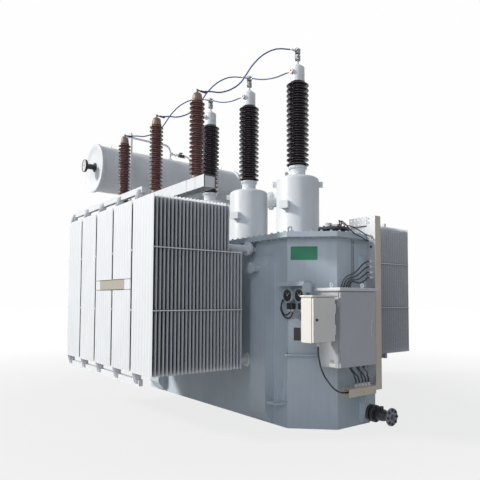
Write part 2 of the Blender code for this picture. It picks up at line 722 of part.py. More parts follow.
def make_arresters(brown, steel):
    """Beam on two cranked brackets from the cover, with three brown posts on it."""
    half = ARRESTER_PITCH + BEAM_OVERHANG
    low_x, high_x = ARRESTER_MIDDLE_X - half, ARRESTER_MIDDLE_X + half
    low_y, high_y = ARRESTER_Y - BEAM_WIDTH / 2, ARRESTER_Y + BEAM_WIDTH / 2
    bottom = BEAM_TOP - BEAM_HEIGHT
    section = [
        (low_y, bottom), (low_y + BEAM_WALL, bottom), (low_y + BEAM_WALL, BEAM_TOP - BEAM_WALL),
        (high_y - BEAM_WALL, BEAM_TOP - BEAM_WALL), (high_y - BEAM_WALL, bottom), (high_y, bottom),
        (high_y, BEAM_TOP), (low_y, BEAM_TOP)]
    lengthways = Matrix(((0, 0, 1, ARRESTER_MIDDLE_X), (1, 0, 0, 0), (0, 1, 0, 0), (0, 0, 0, 1)))
    plate("arrester_beam", [section], high_x - low_x, lengthways, steel)
    foot = COVER_TOP + GAP
    seat = bottom - GAP
    size = BRACKET_SIZE
    for number, side_of_middle in enumerate((1, -1)):
        x = ARRESTER_MIDDLE_X + side_of_middle * ARRESTER_PITCH / 2
        post_in, post_out = BRACKET_POST_Y + size / 2, BRACKET_POST_Y - size / 2
        side = [
            (post_in, foot), (post_in, seat), (low_y, seat), (low_y, seat - size),
            (post_out - BRACKET_KNEE_RUN, seat - size), (post_out, seat - size - BRACKET_KNEE_DROP),
            (post_out, foot)]
        turn = Matrix(((0, 0, 1, x), (1, 0, 0, 0), (0, 1, 0, 0), (0, 0, 0, 1)))
        plate(f"arrester_bracket_{number + 1}", [side], size, turn, steel)
    for number in range(3):
        x = ARRESTER_MIDDLE_X + (1 - number) * ARRESTER_PITCH
        base = BEAM_TOP + GAP
        foot_top = base + ARRESTER_FOOT_HEIGHT
        top = foot_top + ARRESTER_PORCELAIN
        line = shed_profile(
            top, ARRESTER_PORCELAIN, ARRESTER_CORE_RADIUS, ARRESTER_SHED_RADIUS, ARRESTER_SHEDS)
        cap = top + ARRESTER_CAP_HEIGHT
        turned(f"surge_arrester_{number + 1}", [
            (0, cap + STUD_HEIGHT), (STUD_RADIUS, cap + STUD_HEIGHT), (STUD_RADIUS, cap),
            (ARRESTER_CAP_RADIUS * 0.8, cap),
            (ARRESTER_CAP_RADIUS, top + 2 * SINK)] + line + [
            (ARRESTER_FOOT_RADIUS, foot_top - SINK), (ARRESTER_FOOT_RADIUS, base), (0, base)],
            (x, ARRESTER_Y, 0), SHED_SIDES, brown)


def bent_tube(name, points, radius, material, collection=model):
    """A round pipe or lead along a route, with closed ends."""
    curve = bpy.data.curves.new(name, "CURVE")
    curve.dimensions = "3D"
    curve.bevel_depth = radius
    curve.bevel_resolution = 2
    curve.use_fill_caps = True
    spline = curve.splines.new("POLY")
    spline.points.add(len(points) - 1)
    for point, position in zip(spline.points, points):
        point.co = (*position, 1.0)
    curve.materials.append(material)
    item = bpy.data.objects.new(name, curve)
    collection.objects.link(item)
    return item


def drum_pipes(enamel):
    """Pipes on top of the drum: the vent along it, and the feed pipe with its valve."""
    crown = DRUM_Z + DRUM_RADIUS
    sunk = crown - DRUM_FLANGE_THICK
    vent = bent_tube("vent", [
        (DRUM_X, VENT_FAR_Y, sunk), (DRUM_X, VENT_FAR_Y, crown + VENT_RISE - 3 * VENT_RADIUS),
        (DRUM_X, VENT_FAR_Y + VENT_RADIUS, crown + VENT_RISE - VENT_RADIUS),
        (DRUM_X, VENT_FAR_Y + 3 * VENT_RADIUS, crown + VENT_RISE),
        (DRUM_X, VENT_NEAR_Y - 6 * VENT_RADIUS, crown + VENT_RISE),
        (DRUM_X, VENT_NEAR_Y - 2 * VENT_RADIUS, crown + VENT_RISE - 2 * VENT_RADIUS),
        (DRUM_X, VENT_NEAR_Y, crown + VENT_RISE - 6 * VENT_RADIUS), (DRUM_X, VENT_NEAR_Y, sunk)],
        VENT_RADIUS, enamel, shapes)
    feed = bent_tube("feed", [
        (DRUM_X, VENT_NEAR_Y, crown + FEED_RISE), (DRUM_X, FEED_FAR_Y - 4 * VENT_RADIUS, crown + FEED_RISE),
        (DRUM_X, FEED_FAR_Y - VENT_RADIUS, crown + FEED_RISE - VENT_RADIUS),
        (DRUM_X, FEED_FAR_Y, crown + FEED_RISE - 4 * VENT_RADIUS), (DRUM_X, FEED_FAR_Y, sunk)],
        VENT_RADIUS * 0.9, enamel, shapes)
    valve = rod(
        "feed_valve", (DRUM_X, FEED_VALVE_Y - FEED_VALVE_LENGTH / 2, crown + FEED_RISE),
        (DRUM_X, FEED_VALVE_Y + FEED_VALVE_LENGTH / 2, crown + FEED_RISE), FEED_VALVE_RADIUS, PIPE_SIDES,
        enamel, shapes)
    solids = []
    for item in (vent, feed):
        mesh = solid_mesh(item)
        bpy.data.objects.remove(item, do_unlink=True)
        solids.append(place("pipe", mesh, enamel, shapes))
    return solids + [valve]


def make_conservator(enamel, dark):
    """Oil drum with bolted end plates, on two frames from the tank's cover."""
    low_y, high_y = DRUM_LOW_Y + DRUM_END_THICK + GAP, DRUM_HIGH_Y - DRUM_END_THICK - GAP
    drum = rod(
        "conservator_drum", (DRUM_X, low_y, DRUM_Z), (DRUM_X, high_y, DRUM_Z), DRUM_RADIUS, DRUM_SIDES,
        enamel)
    flanges = []
    for start, stop in ((low_y, low_y + DRUM_FLANGE_THICK), (high_y - DRUM_FLANGE_THICK, high_y)):
        flanges.append(rod(
            "drum_flange", (DRUM_X, start, DRUM_Z), (DRUM_X, stop, DRUM_Z), DRUM_FLANGE_RADIUS,
            DRUM_SIDES, enamel, shapes))
    combine(drum, "UNION", flanges + drum_pipes(enamel))
    for label, start in (("left", DRUM_LOW_Y), ("right", DRUM_HIGH_Y - DRUM_END_THICK)):
        rod(f"conservator_end_{label}", (DRUM_X, start, DRUM_Z), (DRUM_X, start + DRUM_END_THICK, DRUM_Z),
            DRUM_FLANGE_RADIUS, DRUM_SIDES, enamel)
    foot = COVER_TOP + GAP
    head = DRUM_Z - DRUM_RADIUS + SADDLE_SINK
    for number, y in enumerate((-SADDLE_Y, SADDLE_Y)):
        frame = box(
            f"conservator_frame_{number + 1}", (DRUM_X - SADDLE_BACK, y - SADDLE_WIDTH / 2, foot),
            (DRUM_X + SADDLE_FRONT, y + SADDLE_WIDTH / 2, head), enamel)
        cutter = rod(
            "saddle_cut", (DRUM_X, y - SADDLE_WIDTH, DRUM_Z), (DRUM_X, y + SADDLE_WIDTH, DRUM_Z),
            DRUM_RADIUS + GAP, DRUM_SIDES, None, shapes)
        combine(frame, "DIFFERENCE", [cutter])
    face = DRUM_LOW_Y - GAP
    gauge_x = DRUM_X + OIL_GAUGE_SHIFT
    gauge = rod(
        "oil_gauge", (gauge_x, face, DRUM_Z), (gauge_x, face - OIL_GAUGE_DEPTH + OIL_GAUGE_DIAL / 2, DRUM_Z),
        OIL_GAUGE_NECK, PIPE_SIDES, dark)
    dial = rod(
        "dial", (gauge_x, face - OIL_GAUGE_DEPTH + OIL_GAUGE_DIAL, DRUM_Z),
        (gauge_x, face - OIL_GAUGE_DEPTH, DRUM_Z), OIL_GAUGE_RADIUS, ROUND_SIDES, dark, shapes)
    combine(gauge, "UNION", [dial])
    front = DRUM_X + DRUM_RADIUS
    pipe_x = front + BREATHER_CLEAR
    breather = rod(
        "breather", (pipe_x, BREATHER_Y, BREATHER_FOOT), (pipe_x, BREATHER_Y, BREATHER_TOP), VENT_RADIUS,
        PIPE_SIDES, enamel)
    parts = [
        rod("pot", (pipe_x, BREATHER_Y, BREATHER_FOOT - BREATHER_POT_HEIGHT),
            (pipe_x, BREATHER_Y, BREATHER_FOOT + VENT_RADIUS), BREATHER_POT_RADIUS, 16, enamel, shapes),
        rod("stub", (pipe_x, BREATHER_Y, BREATHER_TOP - VENT_RADIUS * 1.2),
            (pipe_x - BREATHER_STUB, BREATHER_Y, BREATHER_TOP - VENT_RADIUS * 1.2), VENT_RADIUS * 0.9,
            PIPE_SIDES, enamel, shapes),
        box("clip", (front + GAP, BREATHER_Y - VENT_RADIUS, DRUM_Z - VENT_RADIUS),
            (pipe_x, BREATHER_Y + VENT_RADIUS, DRUM_Z + VENT_RADIUS), enamel, shapes)]
    combine(breather, "UNION", parts)


def hinge_pair(side_y, outward, back, middle, bottom, top):
    """Knuckles for the door and pintles for the shell, at two heights on one upright axis.

    side_y is the cabinet's side wall, outward is +1 or -1 along Y, back and middle
    are the X of the shell's edge and of the door's mid plane.
    """
    axis_y = side_y + outward * KNUCKLE_OFFSET
    knuckles, pintles = [], []
    for height in (bottom + HINGE_INSET, top - HINGE_INSET):
        knuckles.append(rod(
            "knuckle", (middle, axis_y, height), (middle, axis_y, height + KNUCKLE_LENGTH),
            KNUCKLE_RADIUS, PIPE_SIDES, None, shapes))
        leaf = sorted((axis_y, side_y - outward * 2 * KNUCKLE_OFFSET))
        knuckles.append(box(
            "leaf", (middle - KNUCKLE_RADIUS / 2, leaf[0], height + GAP),
            (middle + KNUCKLE_RADIUS / 2, leaf[1], height + KNUCKLE_LENGTH - GAP), None, shapes))
        pintles.append(rod(
            "pintle", (middle, axis_y, height - KNUCKLE_LENGTH), (middle, axis_y, height - GAP),
            KNUCKLE_RADIUS, PIPE_SIDES, None, shapes))
        strap = sorted((axis_y + outward * KNUCKLE_RADIUS / 2, side_y - outward * SHEET / 2))
        pintles.append(box(
            "strap", (back - KNUCKLE_LENGTH / 2, strap[0], height - KNUCKLE_LENGTH + GAP),
            (back, strap[1], height - 2 * GAP), None, shapes))
        arm = sorted((axis_y + outward * KNUCKLE_RADIUS / 2, axis_y - outward * KNUCKLE_RADIUS / 4))
        pintles.append(box(
            "arm", (back - KNUCKLE_LENGTH / 4, arm[0], height - KNUCKLE_LENGTH + 2 * GAP),
            (middle, arm[1], height - 3 * GAP), None, shapes))
    return knuckles, pintles


def make_cabinet(name, low, high, hinge_side, finish):
    """A sheet-steel shell, open towards +X, and a door hung on one of its side walls."""
    front = high[0] - DOOR_THICK
    back = front - DOOR_CLEAR
    shell = box(name, low, (back, high[1], high[2]), finish)
    hollow = box(
        "hollow", (low[0] + SHEET, low[1] + SHEET, low[2] + SHEET),
        (high[0], high[1] - SHEET, high[2] - SHEET), None, shapes)
    combine(shell, "DIFFERENCE", [hollow])
    door = box(
        name + "_door", (front, low[1] + DOOR_CLEAR, low[2] + DOOR_CLEAR),
        (high[0], high[1] - DOOR_CLEAR, high[2] - DOOR_CLEAR), finish)
    side_y = low[1] if hinge_side < 0 else high[1]
    knuckles, pintles = hinge_pair(side_y, hinge_side, back, (front + high[0]) / 2, low[2], high[2])
    combine(shell, "UNION", pintles)
    combine(door, "UNION", knuckles)
    return shell, door


def make_cabinets(grey, cream):
    """Control cabinet on feet from the end wall, and the small cabinet on its side."""
    low = (CABINET_LOW_X, CABINET_LOW_Y, CABINET_BOTTOM)
    high = (CABINET_HIGH_X, CABINET_HIGH_Y, CABINET_TOP)
    shell, door = make_cabinet("control_cabinet", low, high, -1, grey)
    feet = []
    wall = TANK_HALF_LENGTH + GAP
    flat = TANK_HALF_WIDTH - TANK_CHAMFER
    for height in (CABINET_BOTTOM + BRACKET_DROP, CABINET_TOP - BRACKET_DROP - BRACKET_LENGTH):
        feet.append(box(
            "foot", (wall, SHEET - flat, height),
            (CABINET_LOW_X + SHEET / 2, CABINET_HIGH_Y - SHEET, height + BRACKET_LENGTH), None, shapes))
    combine(shell, "UNION", feet)
    handle_y = CABINET_HIGH_Y - HANDLE_FROM_EDGE
    handle_z = (CABINET_BOTTOM + CABINET_TOP) / 2
    handle = box(
        "handle", (CABINET_HIGH_X - DOOR_THICK / 4, handle_y - HANDLE_WIDTH, handle_z - HANDLE_HEIGHT / 2),
        (CABINET_HIGH_X + HANDLE_DEPTH, handle_y, handle_z + HANDLE_HEIGHT / 2), None, shapes)
    combine(door, "UNION", [handle])
    lid = CABINET_TOP + GAP
    box("control_cabinet_lid", (CABINET_LOW_X - LID_OVERHANG, CABINET_LOW_Y - LID_OVERHANG, lid),
        (CABINET_HIGH_X + LID_OVERHANG, CABINET_HIGH_Y + LID_OVERHANG, lid + LID_THICK), grey)

    low = (SMALL_LOW_X, SMALL_LOW_Y, SMALL_BOTTOM)
    high = (SMALL_HIGH_X, SMALL_HIGH_Y, SMALL_TOP)
    shell, door = make_cabinet("small_cabinet", low, high, 1, cream)
    arms = []
    for height in (SMALL_BOTTOM + BRACKET_DROP, SMALL_TOP - BRACKET_DROP - BRACKET_LENGTH):
        arms.append(box(
            "arm", (SMALL_LOW_X + SHEET, SMALL_HIGH_Y - SHEET / 2, height),
            (SMALL_LOW_X + BRACKET_LENGTH, CABINET_LOW_Y - GAP, height + BRACKET_LENGTH), None, shapes))
    combine(shell, "UNION", arms)
    lock_y = SMALL_LOW_Y + HANDLE_FROM_EDGE
    lock_z = (SMALL_BOTTOM + SMALL_TOP) / 2
    lock = rod(
        "lock", (SMALL_HIGH_X - DOOR_THICK / 4, lock_y, lock_z),
        (SMALL_HIGH_X + LOCK_DEPTH, lock_y, lock_z), LOCK_RADIUS, PIPE_SIDES, None, shapes)
    combine(door, "UNION", [lock])


def channel(low, high, sheet):
    """Plan of a folded channel that is open towards the high side of its second axis."""
    return [
        (low[0], low[1]), (high[0], low[1]), (high[0], high[1]), (high[0] - sheet, high[1]),
        (high[0] - sheet, low[1] + sheet), (low[0] + sheet, low[1] + sheet), (low[0] + sheet, high[1]),
        (low[0], high[1])]


def make_end_fittings(zinc, beige, dark):
    """Cable riser with its tray, the gland rack at its foot, and the drain valve near the base."""
    face = TANK_HALF_LENGTH + END_STIFFENER_DEPTH + GAP
    low_x = face + RISER_STANDOFF
    high_x = low_x + RISER_DEPTH
    high_y = RISER_LOW_Y + RISER_WIDTH
    riser = plate(
        "cable_riser", [channel((low_x, RISER_LOW_Y), (high_x, high_y), RISER_SHEET)],
        RISER_TOP - RISER_BOTTOM, Matrix.Translation((0, 0, (RISER_TOP + RISER_BOTTOM) / 2)), zinc)
    parts = [
        box("tray_web", (low_x - TRAY_LENGTH, RISER_LOW_Y, RISER_TOP - TRAY_HEIGHT),
            (low_x + RISER_SHEET, RISER_LOW_Y + RISER_SHEET, RISER_TOP), zinc, shapes),
        box("tray_floor", (low_x - TRAY_LENGTH, RISER_LOW_Y, RISER_TOP - TRAY_HEIGHT),
            (low_x + RISER_SHEET, high_y, RISER_TOP - TRAY_HEIGHT + RISER_SHEET), zinc, shapes)]
    for height in RISER_FEET:
        parts.append(box(
            "riser_foot", (face, RISER_LOW_Y + RISER_SHEET / 2, height),
            (low_x + RISER_SHEET / 2, high_y - RISER_SHEET, height + RISER_FOOT_HEIGHT), zinc, shapes))
    middle_x = (low_x + high_x) / 2
    for height in UPPER_GLANDS + LOWER_GLANDS:
        parts.append(rod(
            "gland", (middle_x, RISER_LOW_Y + RISER_SHEET / 2, height),
            (middle_x, RISER_LOW_Y - GLAND_REACH, height), GLAND_RADIUS, 6, zinc, shapes))
    combine(riser, "UNION", parts)

    rack_top = RACK_BOTTOM + RACK_HEIGHT
    rack_y = RISER_LOW_Y - GAP
    section = channel((high_x - RACK_DEPTH, -rack_top), (high_x, -RACK_BOTTOM), RISER_SHEET)
    lengthways = Matrix(((1, 0, 0, 0), (0, 0, 1, rack_y - RACK_LENGTH / 2), (0, -1, 0, 0), (0, 0, 0, 1)))
    rack = plate("gland_rack", [section], RACK_LENGTH, lengthways, beige)
    glands = []
    for number in range(RACK_GLANDS):
        y = rack_y - RACK_GLAND_FROM_RISER - number * RACK_GLAND_PITCH
        glands.append(rod(
            "gland", (middle_x, y, rack_top - RISER_SHEET / 2), (middle_x, y, rack_top + GLAND_REACH),
            GLAND_RADIUS, 6, beige, shapes))
    combine(rack, "UNION", glands)

    valve = rod(
        "drain_valve", (face, VALVE_Y, VALVE_Z), (face + VALVE_REACH, VALVE_Y, VALVE_Z),
        VALVE_PIPE_RADIUS, PIPE_SIDES, dark)
    flanges = []
    for start in (0, VALVE_BODY, VALVE_REACH - VALVE_FLANGE_THICK):
        flanges.append(rod(
            "valve_flange", (face + start, VALVE_Y, VALVE_Z),
            (face + start + VALVE_FLANGE_THICK, VALVE_Y, VALVE_Z),
            VALVE_FLANGE_RADIUS, VALVE_SIDES, dark, shapes))
    combine(valve, "UNION", flanges)


def corner_place():
    """From a frame on the near cut corner (along, outwards, up) to the world."""
    slant = math.sqrt(0.5)
    return Matrix((
        (slant, slant, 0, TANK_HALF_LENGTH - TANK_CHAMFER), (slant, -slant, 0, -TANK_HALF_WIDTH),
        (0, 0, 1, 0), (0, 0, 0, 1)))


def corner_box(name, low, high, material, collection=model):
    item = box(name, low, high, material, collection)
    item.data.transform(corner_place())
    item.data.flip_normals()
    return item


def make_instruments(enamel):
    """Rain hood with its two dial thermometers, and the instrument box below it."""
    hood = corner_box(
        "dial_hood", (0, GAP, HOOD_TOP - HOOD_BACK_DROP), (HOOD_WIDTH, GAP + HOOD_SHEET, HOOD_TOP), enamel)
    stand = corner_place() @ Matrix(((0, 0, 1, 0), (1, 0, 0, 0), (0, 1, 0, 0), (0, 0, 0, 1)))
    back = GAP + HOOD_SHEET / 2
    roof = [
        (back, HOOD_TOP), (back, HOOD_TOP - HOOD_SHEET), (HOOD_REACH, HOOD_TOP - HOOD_DROP - HOOD_SHEET),
        (HOOD_REACH, HOOD_TOP - HOOD_DROP)]
    parts = [plate(
        "roof", [roof], HOOD_WIDTH, stand @ Matrix.Translation((0, 0, HOOD_WIDTH / 2)), enamel, shapes)]
    cheek = [
        (back, HOOD_TOP - HOOD_SHEET / 2), (back, HOOD_TOP - HOOD_CHEEK),
        (HOOD_REACH, HOOD_TOP - HOOD_DROP - HOOD_SHEET * 2),
        (HOOD_REACH, HOOD_TOP - HOOD_DROP - HOOD_SHEET / 2)]
    parts.append(plate(
        "cheek", [cheek], HOOD_SHEET, stand @ Matrix.Translation((0, 0, HOOD_WIDTH - HOOD_SHEET / 2)), enamel,
        shapes))
    place_on = corner_place()
    for along in DIAL_PLACES:
        neck_end = HOOD_SHEET + DIAL_NECK
        parts.append(rod(
            "neck", place_on @ Vector((along, back, DIAL_HEIGHT)),
            place_on @ Vector((along, neck_end + HOOD_SHEET, DIAL_HEIGHT)), DIAL_NECK_RADIUS, PIPE_SIDES,
            enamel, shapes))
        parts.append(rod(
            "dial", place_on @ Vector((along, neck_end, DIAL_HEIGHT)),
            place_on @ Vector((along, neck_end + DIAL_DEPTH, DIAL_HEIGHT)), DIAL_RADIUS, 16, enamel, shapes))
    combine(hood, "UNION", parts)

    case = corner_box(
        "instrument_box", (BOX_START, GAP, BOX_BOTTOM),
        (BOX_START + BOX_WIDTH, BOX_DEPTH, BOX_BOTTOM + BOX_HEIGHT), enamel)
    ledge = corner_box(
        "ledge", (BOX_START - BOX_LEDGE, GAP, BOX_BOTTOM - BOX_LEDGE_THICK),
        (BOX_START + BOX_WIDTH + BOX_LEDGE, BOX_DEPTH + BOX_LEDGE, BOX_BOTTOM), enamel, shapes)
    window = corner_box(
        "window", (WINDOW_START, BOX_DEPTH - WINDOW_SINK, WINDOW_BOTTOM),
        (WINDOW_START + WINDOW_WIDTH, BOX_DEPTH * 2, WINDOW_BOTTOM + WINDOW_HEIGHT), enamel, shapes)
    combine(case, "UNION", [ledge])
    combine(case, "DIFFERENCE", [window])


def make_hatch(dark, enamel):
    """Round hatch on the cover, with a relief valve on it."""
    low = COVER_TOP + GAP
    hatch = rod(
        "cover_hatch", (HATCH_X, HATCH_Y, low), (HATCH_X, HATCH_Y, low + HATCH_HEIGHT), HATCH_RADIUS,
        ROUND_SIDES, dark)
    relief = rod(
        "relief", (HATCH_X, HATCH_Y - RELIEF_SHIFT, low + HATCH_HEIGHT / 2),
        (HATCH_X, HATCH_Y - RELIEF_SHIFT, low + HATCH_HEIGHT + RELIEF_HEIGHT), RELIEF_RADIUS, 12, enamel,
        shapes)
    combine(hatch, "UNION", [relief])


def smooth_route(knots, steps):
    """Points read along a smooth curve through the knots."""
    knots = [Vector(knot) for knot in knots]
    padded = [2 * knots[0] - knots[1]] + knots + [2 * knots[-1] - knots[-2]]
    spans = len(knots) - 1
    route = []
    for step in range(steps + 1):
        position = spans * step / steps
        span = min(int(position), spans - 1)
        t = position - span
        a, b, c, d = padded[span:span + 4]
        route.append(0.5 * (
            2 * b + (c - a) * t + (2 * a - 5 * b + 4 * c - d) * t ** 2 + (3 * b - a - 3 * c + d) * t ** 3))
    return route


def make_leads(blue):
    """Five line leads: arrester to phase clamp three times, and clamp to the next head twice."""
    head = COVER_TOP + GAP + TURRET_HEIGHT + TURRET_SHOULDER + COLLAR_HEIGHT + GAP + HV_PORCELAIN + GAP
    clamp_top = head + HV_HEAD_HEIGHT + HV_STEM_HEIGHT - CLAMP_SINK + CLAMP_HEIGHT
    stud_top = BEAM_TOP + GAP + ARRESTER_FOOT_HEIGHT + ARRESTER_PORCELAIN + ARRESTER_CAP_HEIGHT + STUD_HEIGHT
    for number in range(3):
        arrester_x = ARRESTER_MIDDLE_X + (1 - number) * ARRESTER_PITCH
        phase_x = PHASE_MIDDLE_X + (1 - number) * PHASE_PITCH
        start = Vector((arrester_x, ARRESTER_Y + STUD_RADIUS + LEAD_GAP, stud_top - ARRESTER_LEAD_DROP))
        stop = Vector((phase_x, PHASE_Y - CLAMP_WIDTH / 2 - LEAD_GAP, clamp_top - CLAMP_LEAD_DROP))
        first = start + Vector((0, LEAD_STRAIGHT, 0))
        last = stop - Vector((0, LEAD_STRAIGHT, 0))
        knots = []
        for share, rise in RISING_LEAD:
            knot = first.lerp(last, share)
            knot.z = start.z + (stop.z - start.z) * rise / LEAD_SPAN_RISE
            knots.append(knot)
        route = [start] + smooth_route(knots, LEAD_STEPS) + [stop]
        bent_tube(f"line_lead_{number + 1}", route, LEAD_RADIUS, blue)
    for number in range(2):
        far_x = PHASE_MIDDLE_X + (1 - number) * PHASE_PITCH
        start = Vector((
            far_x - PHASE_PITCH + CLAMP_DEPTH / 2 + LEAD_GAP, PHASE_Y, clamp_top - CROSS_LEAD_DROP))
        stop = Vector((
            far_x - PLATE_RADIUS - LEAD_GAP, PHASE_Y - HV_HEAD_RADIUS - PLATE_REACH / 2, head + PLATE_HEIGHT))
        first = start + Vector((LEAD_STRAIGHT, 0, 0))
        last = stop - Vector((LEAD_STRAIGHT, 0, 0))
        knots = []
        for share in (0, 0.25, 0.5, 0.75, 1):
            knot = first.lerp(last, share)
            knot.z -= CROSS_LEAD_SAG * 4 * share * (1 - share)
            knots.append(knot)
        route = [start] + smooth_route(knots, LEAD_STEPS) + [stop]
        bent_tube(f"line_lead_{number + 4}", route, LEAD_RADIUS, blue)


def build():
    clear_scene()
    enamel = paint("pale grey enamel", (0.62, 0.68, 0.70), 0.4)
    porcelain = paint("dark glazed porcelain", (0.02, 0.015, 0.015), 0.2)
    brown = paint("brown glazed porcelain", (0.12, 0.035, 0.02), 0.25)
    aluminium = paint("cast aluminium", (0.6, 0.6, 0.6), 0.4, 1.0)
    grey = paint("mid grey powder coat", (0.28, 0.29, 0.30), 0.5)
    cream = paint("cream powder coat", (0.60, 0.57, 0.48), 0.5)
    zinc = paint("galvanised steel", (0.55, 0.56, 0.55), 0.45, 0.8)
    beige = paint("beige enamel", (0.55, 0.45, 0.32), 0.5)
    dark = paint("black painted iron", (0.04, 0.04, 0.045), 0.5)
    blue = paint("blue cable sheath", (0.05, 0.07, 0.25), 0.5)
    make_tank(enamel)
    make_cover(enamel)
    make_radiators(enamel)
    make_rails(enamel)
    for number, letter in enumerate("abc"):
        make_phase(letter, PHASE_MIDDLE_X + (1 - number) * PHASE_PITCH, enamel, porcelain, aluminium)
    make_neutral(enamel, porcelain, aluminium)
    make_arresters(brown, enamel)
    make_conservator(enamel, dark)
    make_cabinets(grey, cream)
    make_end_fittings(zinc, beige, dark)
    make_instruments(enamel)
    make_hatch(dark, enamel)
    make_leads(blue)


build()
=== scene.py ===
import math
from contextlib import contextmanager

import bmesh
import bpy
from mathutils import Matrix, Vector


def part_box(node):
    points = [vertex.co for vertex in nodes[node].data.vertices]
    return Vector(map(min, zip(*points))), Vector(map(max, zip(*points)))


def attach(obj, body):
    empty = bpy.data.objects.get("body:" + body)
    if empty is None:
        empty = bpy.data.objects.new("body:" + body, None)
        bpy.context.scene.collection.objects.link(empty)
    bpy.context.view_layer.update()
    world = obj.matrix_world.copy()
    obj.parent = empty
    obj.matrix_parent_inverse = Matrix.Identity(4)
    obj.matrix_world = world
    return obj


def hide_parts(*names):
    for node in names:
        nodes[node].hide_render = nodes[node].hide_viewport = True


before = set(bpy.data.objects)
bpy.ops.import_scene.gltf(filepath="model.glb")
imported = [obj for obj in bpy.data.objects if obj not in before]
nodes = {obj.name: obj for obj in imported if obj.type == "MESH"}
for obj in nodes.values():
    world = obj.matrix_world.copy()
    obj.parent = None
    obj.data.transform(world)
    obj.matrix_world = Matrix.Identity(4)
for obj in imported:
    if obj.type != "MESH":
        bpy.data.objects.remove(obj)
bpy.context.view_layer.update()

scene = bpy.context.scene

# Camera: stands off the corner between the long side and the end with the cabinets,
# at about eye height, and looks a little upwards.
view_azimuth = math.radians(51.632)
view_pitch = math.radians(2.925)
view_roll = math.radians(0.173)
view_place = (5.9829, -4.4910, 1.4614)
forward = Vector((
    -math.sin(view_azimuth) * math.cos(view_pitch),
    math.cos(view_azimuth) * math.cos(view_pitch),
    math.sin(view_pitch)))
level = Vector((math.cos(view_azimuth), math.sin(view_azimuth), 0.0))
upward = level.cross(forward)
across = math.cos(view_roll) * level + math.sin(view_roll) * upward
upright = -math.sin(view_roll) * level + math.cos(view_roll) * upward
camera_data = bpy.data.cameras.new("camera")
camera_data.sensor_width = 36.0
camera_data.lens = 37.243
camera_data.shift_x = -0.03804
camera_data.shift_y = 0.07047
camera = bpy.data.objects.new("camera", camera_data)
view_turn = Matrix((across, upright, -forward)).transposed().to_4x4()
camera.matrix_world = Matrix.Translation(view_place) @ view_turn
scene.collection.objects.link(camera)
scene.camera = camera
scene.view_settings.view_transform = "Standard"


# Light: one broad soft lamp high on the side of the near radiator bank, a weak one to
# fill the other side, and an even pale sky. The floor is matt and keeps the shadow.
def linear(code):
    """A colour written as sRGB hex, as the linear values that a shader takes."""
    values = [int(code[start:start + 2], 16) / 255 for start in (1, 3, 5)]
    return (*[v / 12.92 if v <= 0.04045 else ((v + 0.055) / 1.055) ** 2.4 for v in values], 1.0)


def add(tree, kind, settings=None, links=None):
    """Adds a node, with its settings and the outputs that feed it."""
    node = tree.nodes.new(kind)
    for name, value in (settings or {}).items():
        if isinstance(name, str) and hasattr(node, name):
            setattr(node, name, value)
        else:
            node.inputs[name].default_value = value
    for name, (source, output) in (links or {}).items():
        tree.links.new(source.outputs[output], node.inputs[name])
    return node


def seen(tree):
    """1 where the background is looked at, also in metal or through glass, and 0 where it lights."""
    path = add(tree, "ShaderNodeLightPath")
    straight = add(tree, "ShaderNodeMath", {"operation": "MAXIMUM"}, {
        0: (path, "Is Camera Ray"), 1: (path, "Is Transmission Ray")})
    return add(tree, "ShaderNodeMath", {"operation": "MAXIMUM"}, {
        0: (straight, 0), 1: (path, "Is Glossy Ray")})


world = bpy.data.worlds.new("pale_sky")
scene.world = world
world.use_nodes = True
sky_tree = world.node_tree
sky_tree.nodes.clear()
sky_seen = seen(sky_tree)
sky_level = add(sky_tree, "ShaderNodeMapRange", {"To Min": 0.24, "To Max": 1.0}, {"Value": (sky_seen, 0)})
sky_colour = add(sky_tree, "ShaderNodeMix", {
    "data_type": "RGBA", 6: linear("#e6eeff"), 7: linear("#fefefe")}, {0: (sky_seen, 0)})
sky = add(sky_tree, "ShaderNodeBackground", None, {"Strength": (sky_level, 0), "Color": (sky_colour, 2)})
add(sky_tree, "ShaderNodeOutputWorld", None, {"Surface": (sky, 0)})


def lamp(name, strength, softness, colour, direction):
    """A far lamp that shines along a direction; the softness is its width in degrees."""
    data = bpy.data.lights.new(name, "SUN")
    data.energy = strength
    data.angle = math.radians(softness)
    data.color = linear(colour)[:3]
    piece = bpy.data.objects.new(name, data)
    piece.rotation_euler = Vector(direction).to_track_quat("-Z", "Y").to_euler()
    scene.collection.objects.link(piece)


lamp("key_lamp", 3.1, 9.0, "#fffcf8", (0.534, 0.845, -0.62))
lamp("fill_lamp", 0.62, 40.0, "#f0f4ff", (-0.55, 0.75, -0.25))

bpy.ops.object.select_all(action="DESELECT")
bpy.ops.mesh.primitive_plane_add(size=120.0, location=(0.0, 0.0, -0.001))
floor = bpy.context.active_object
floor.name = "floor"
floor_paper = bpy.data.materials.new("matt_pale_paper")
floor_paper.use_nodes = True
floor_tree = floor_paper.node_tree
floor_tree.nodes.clear()
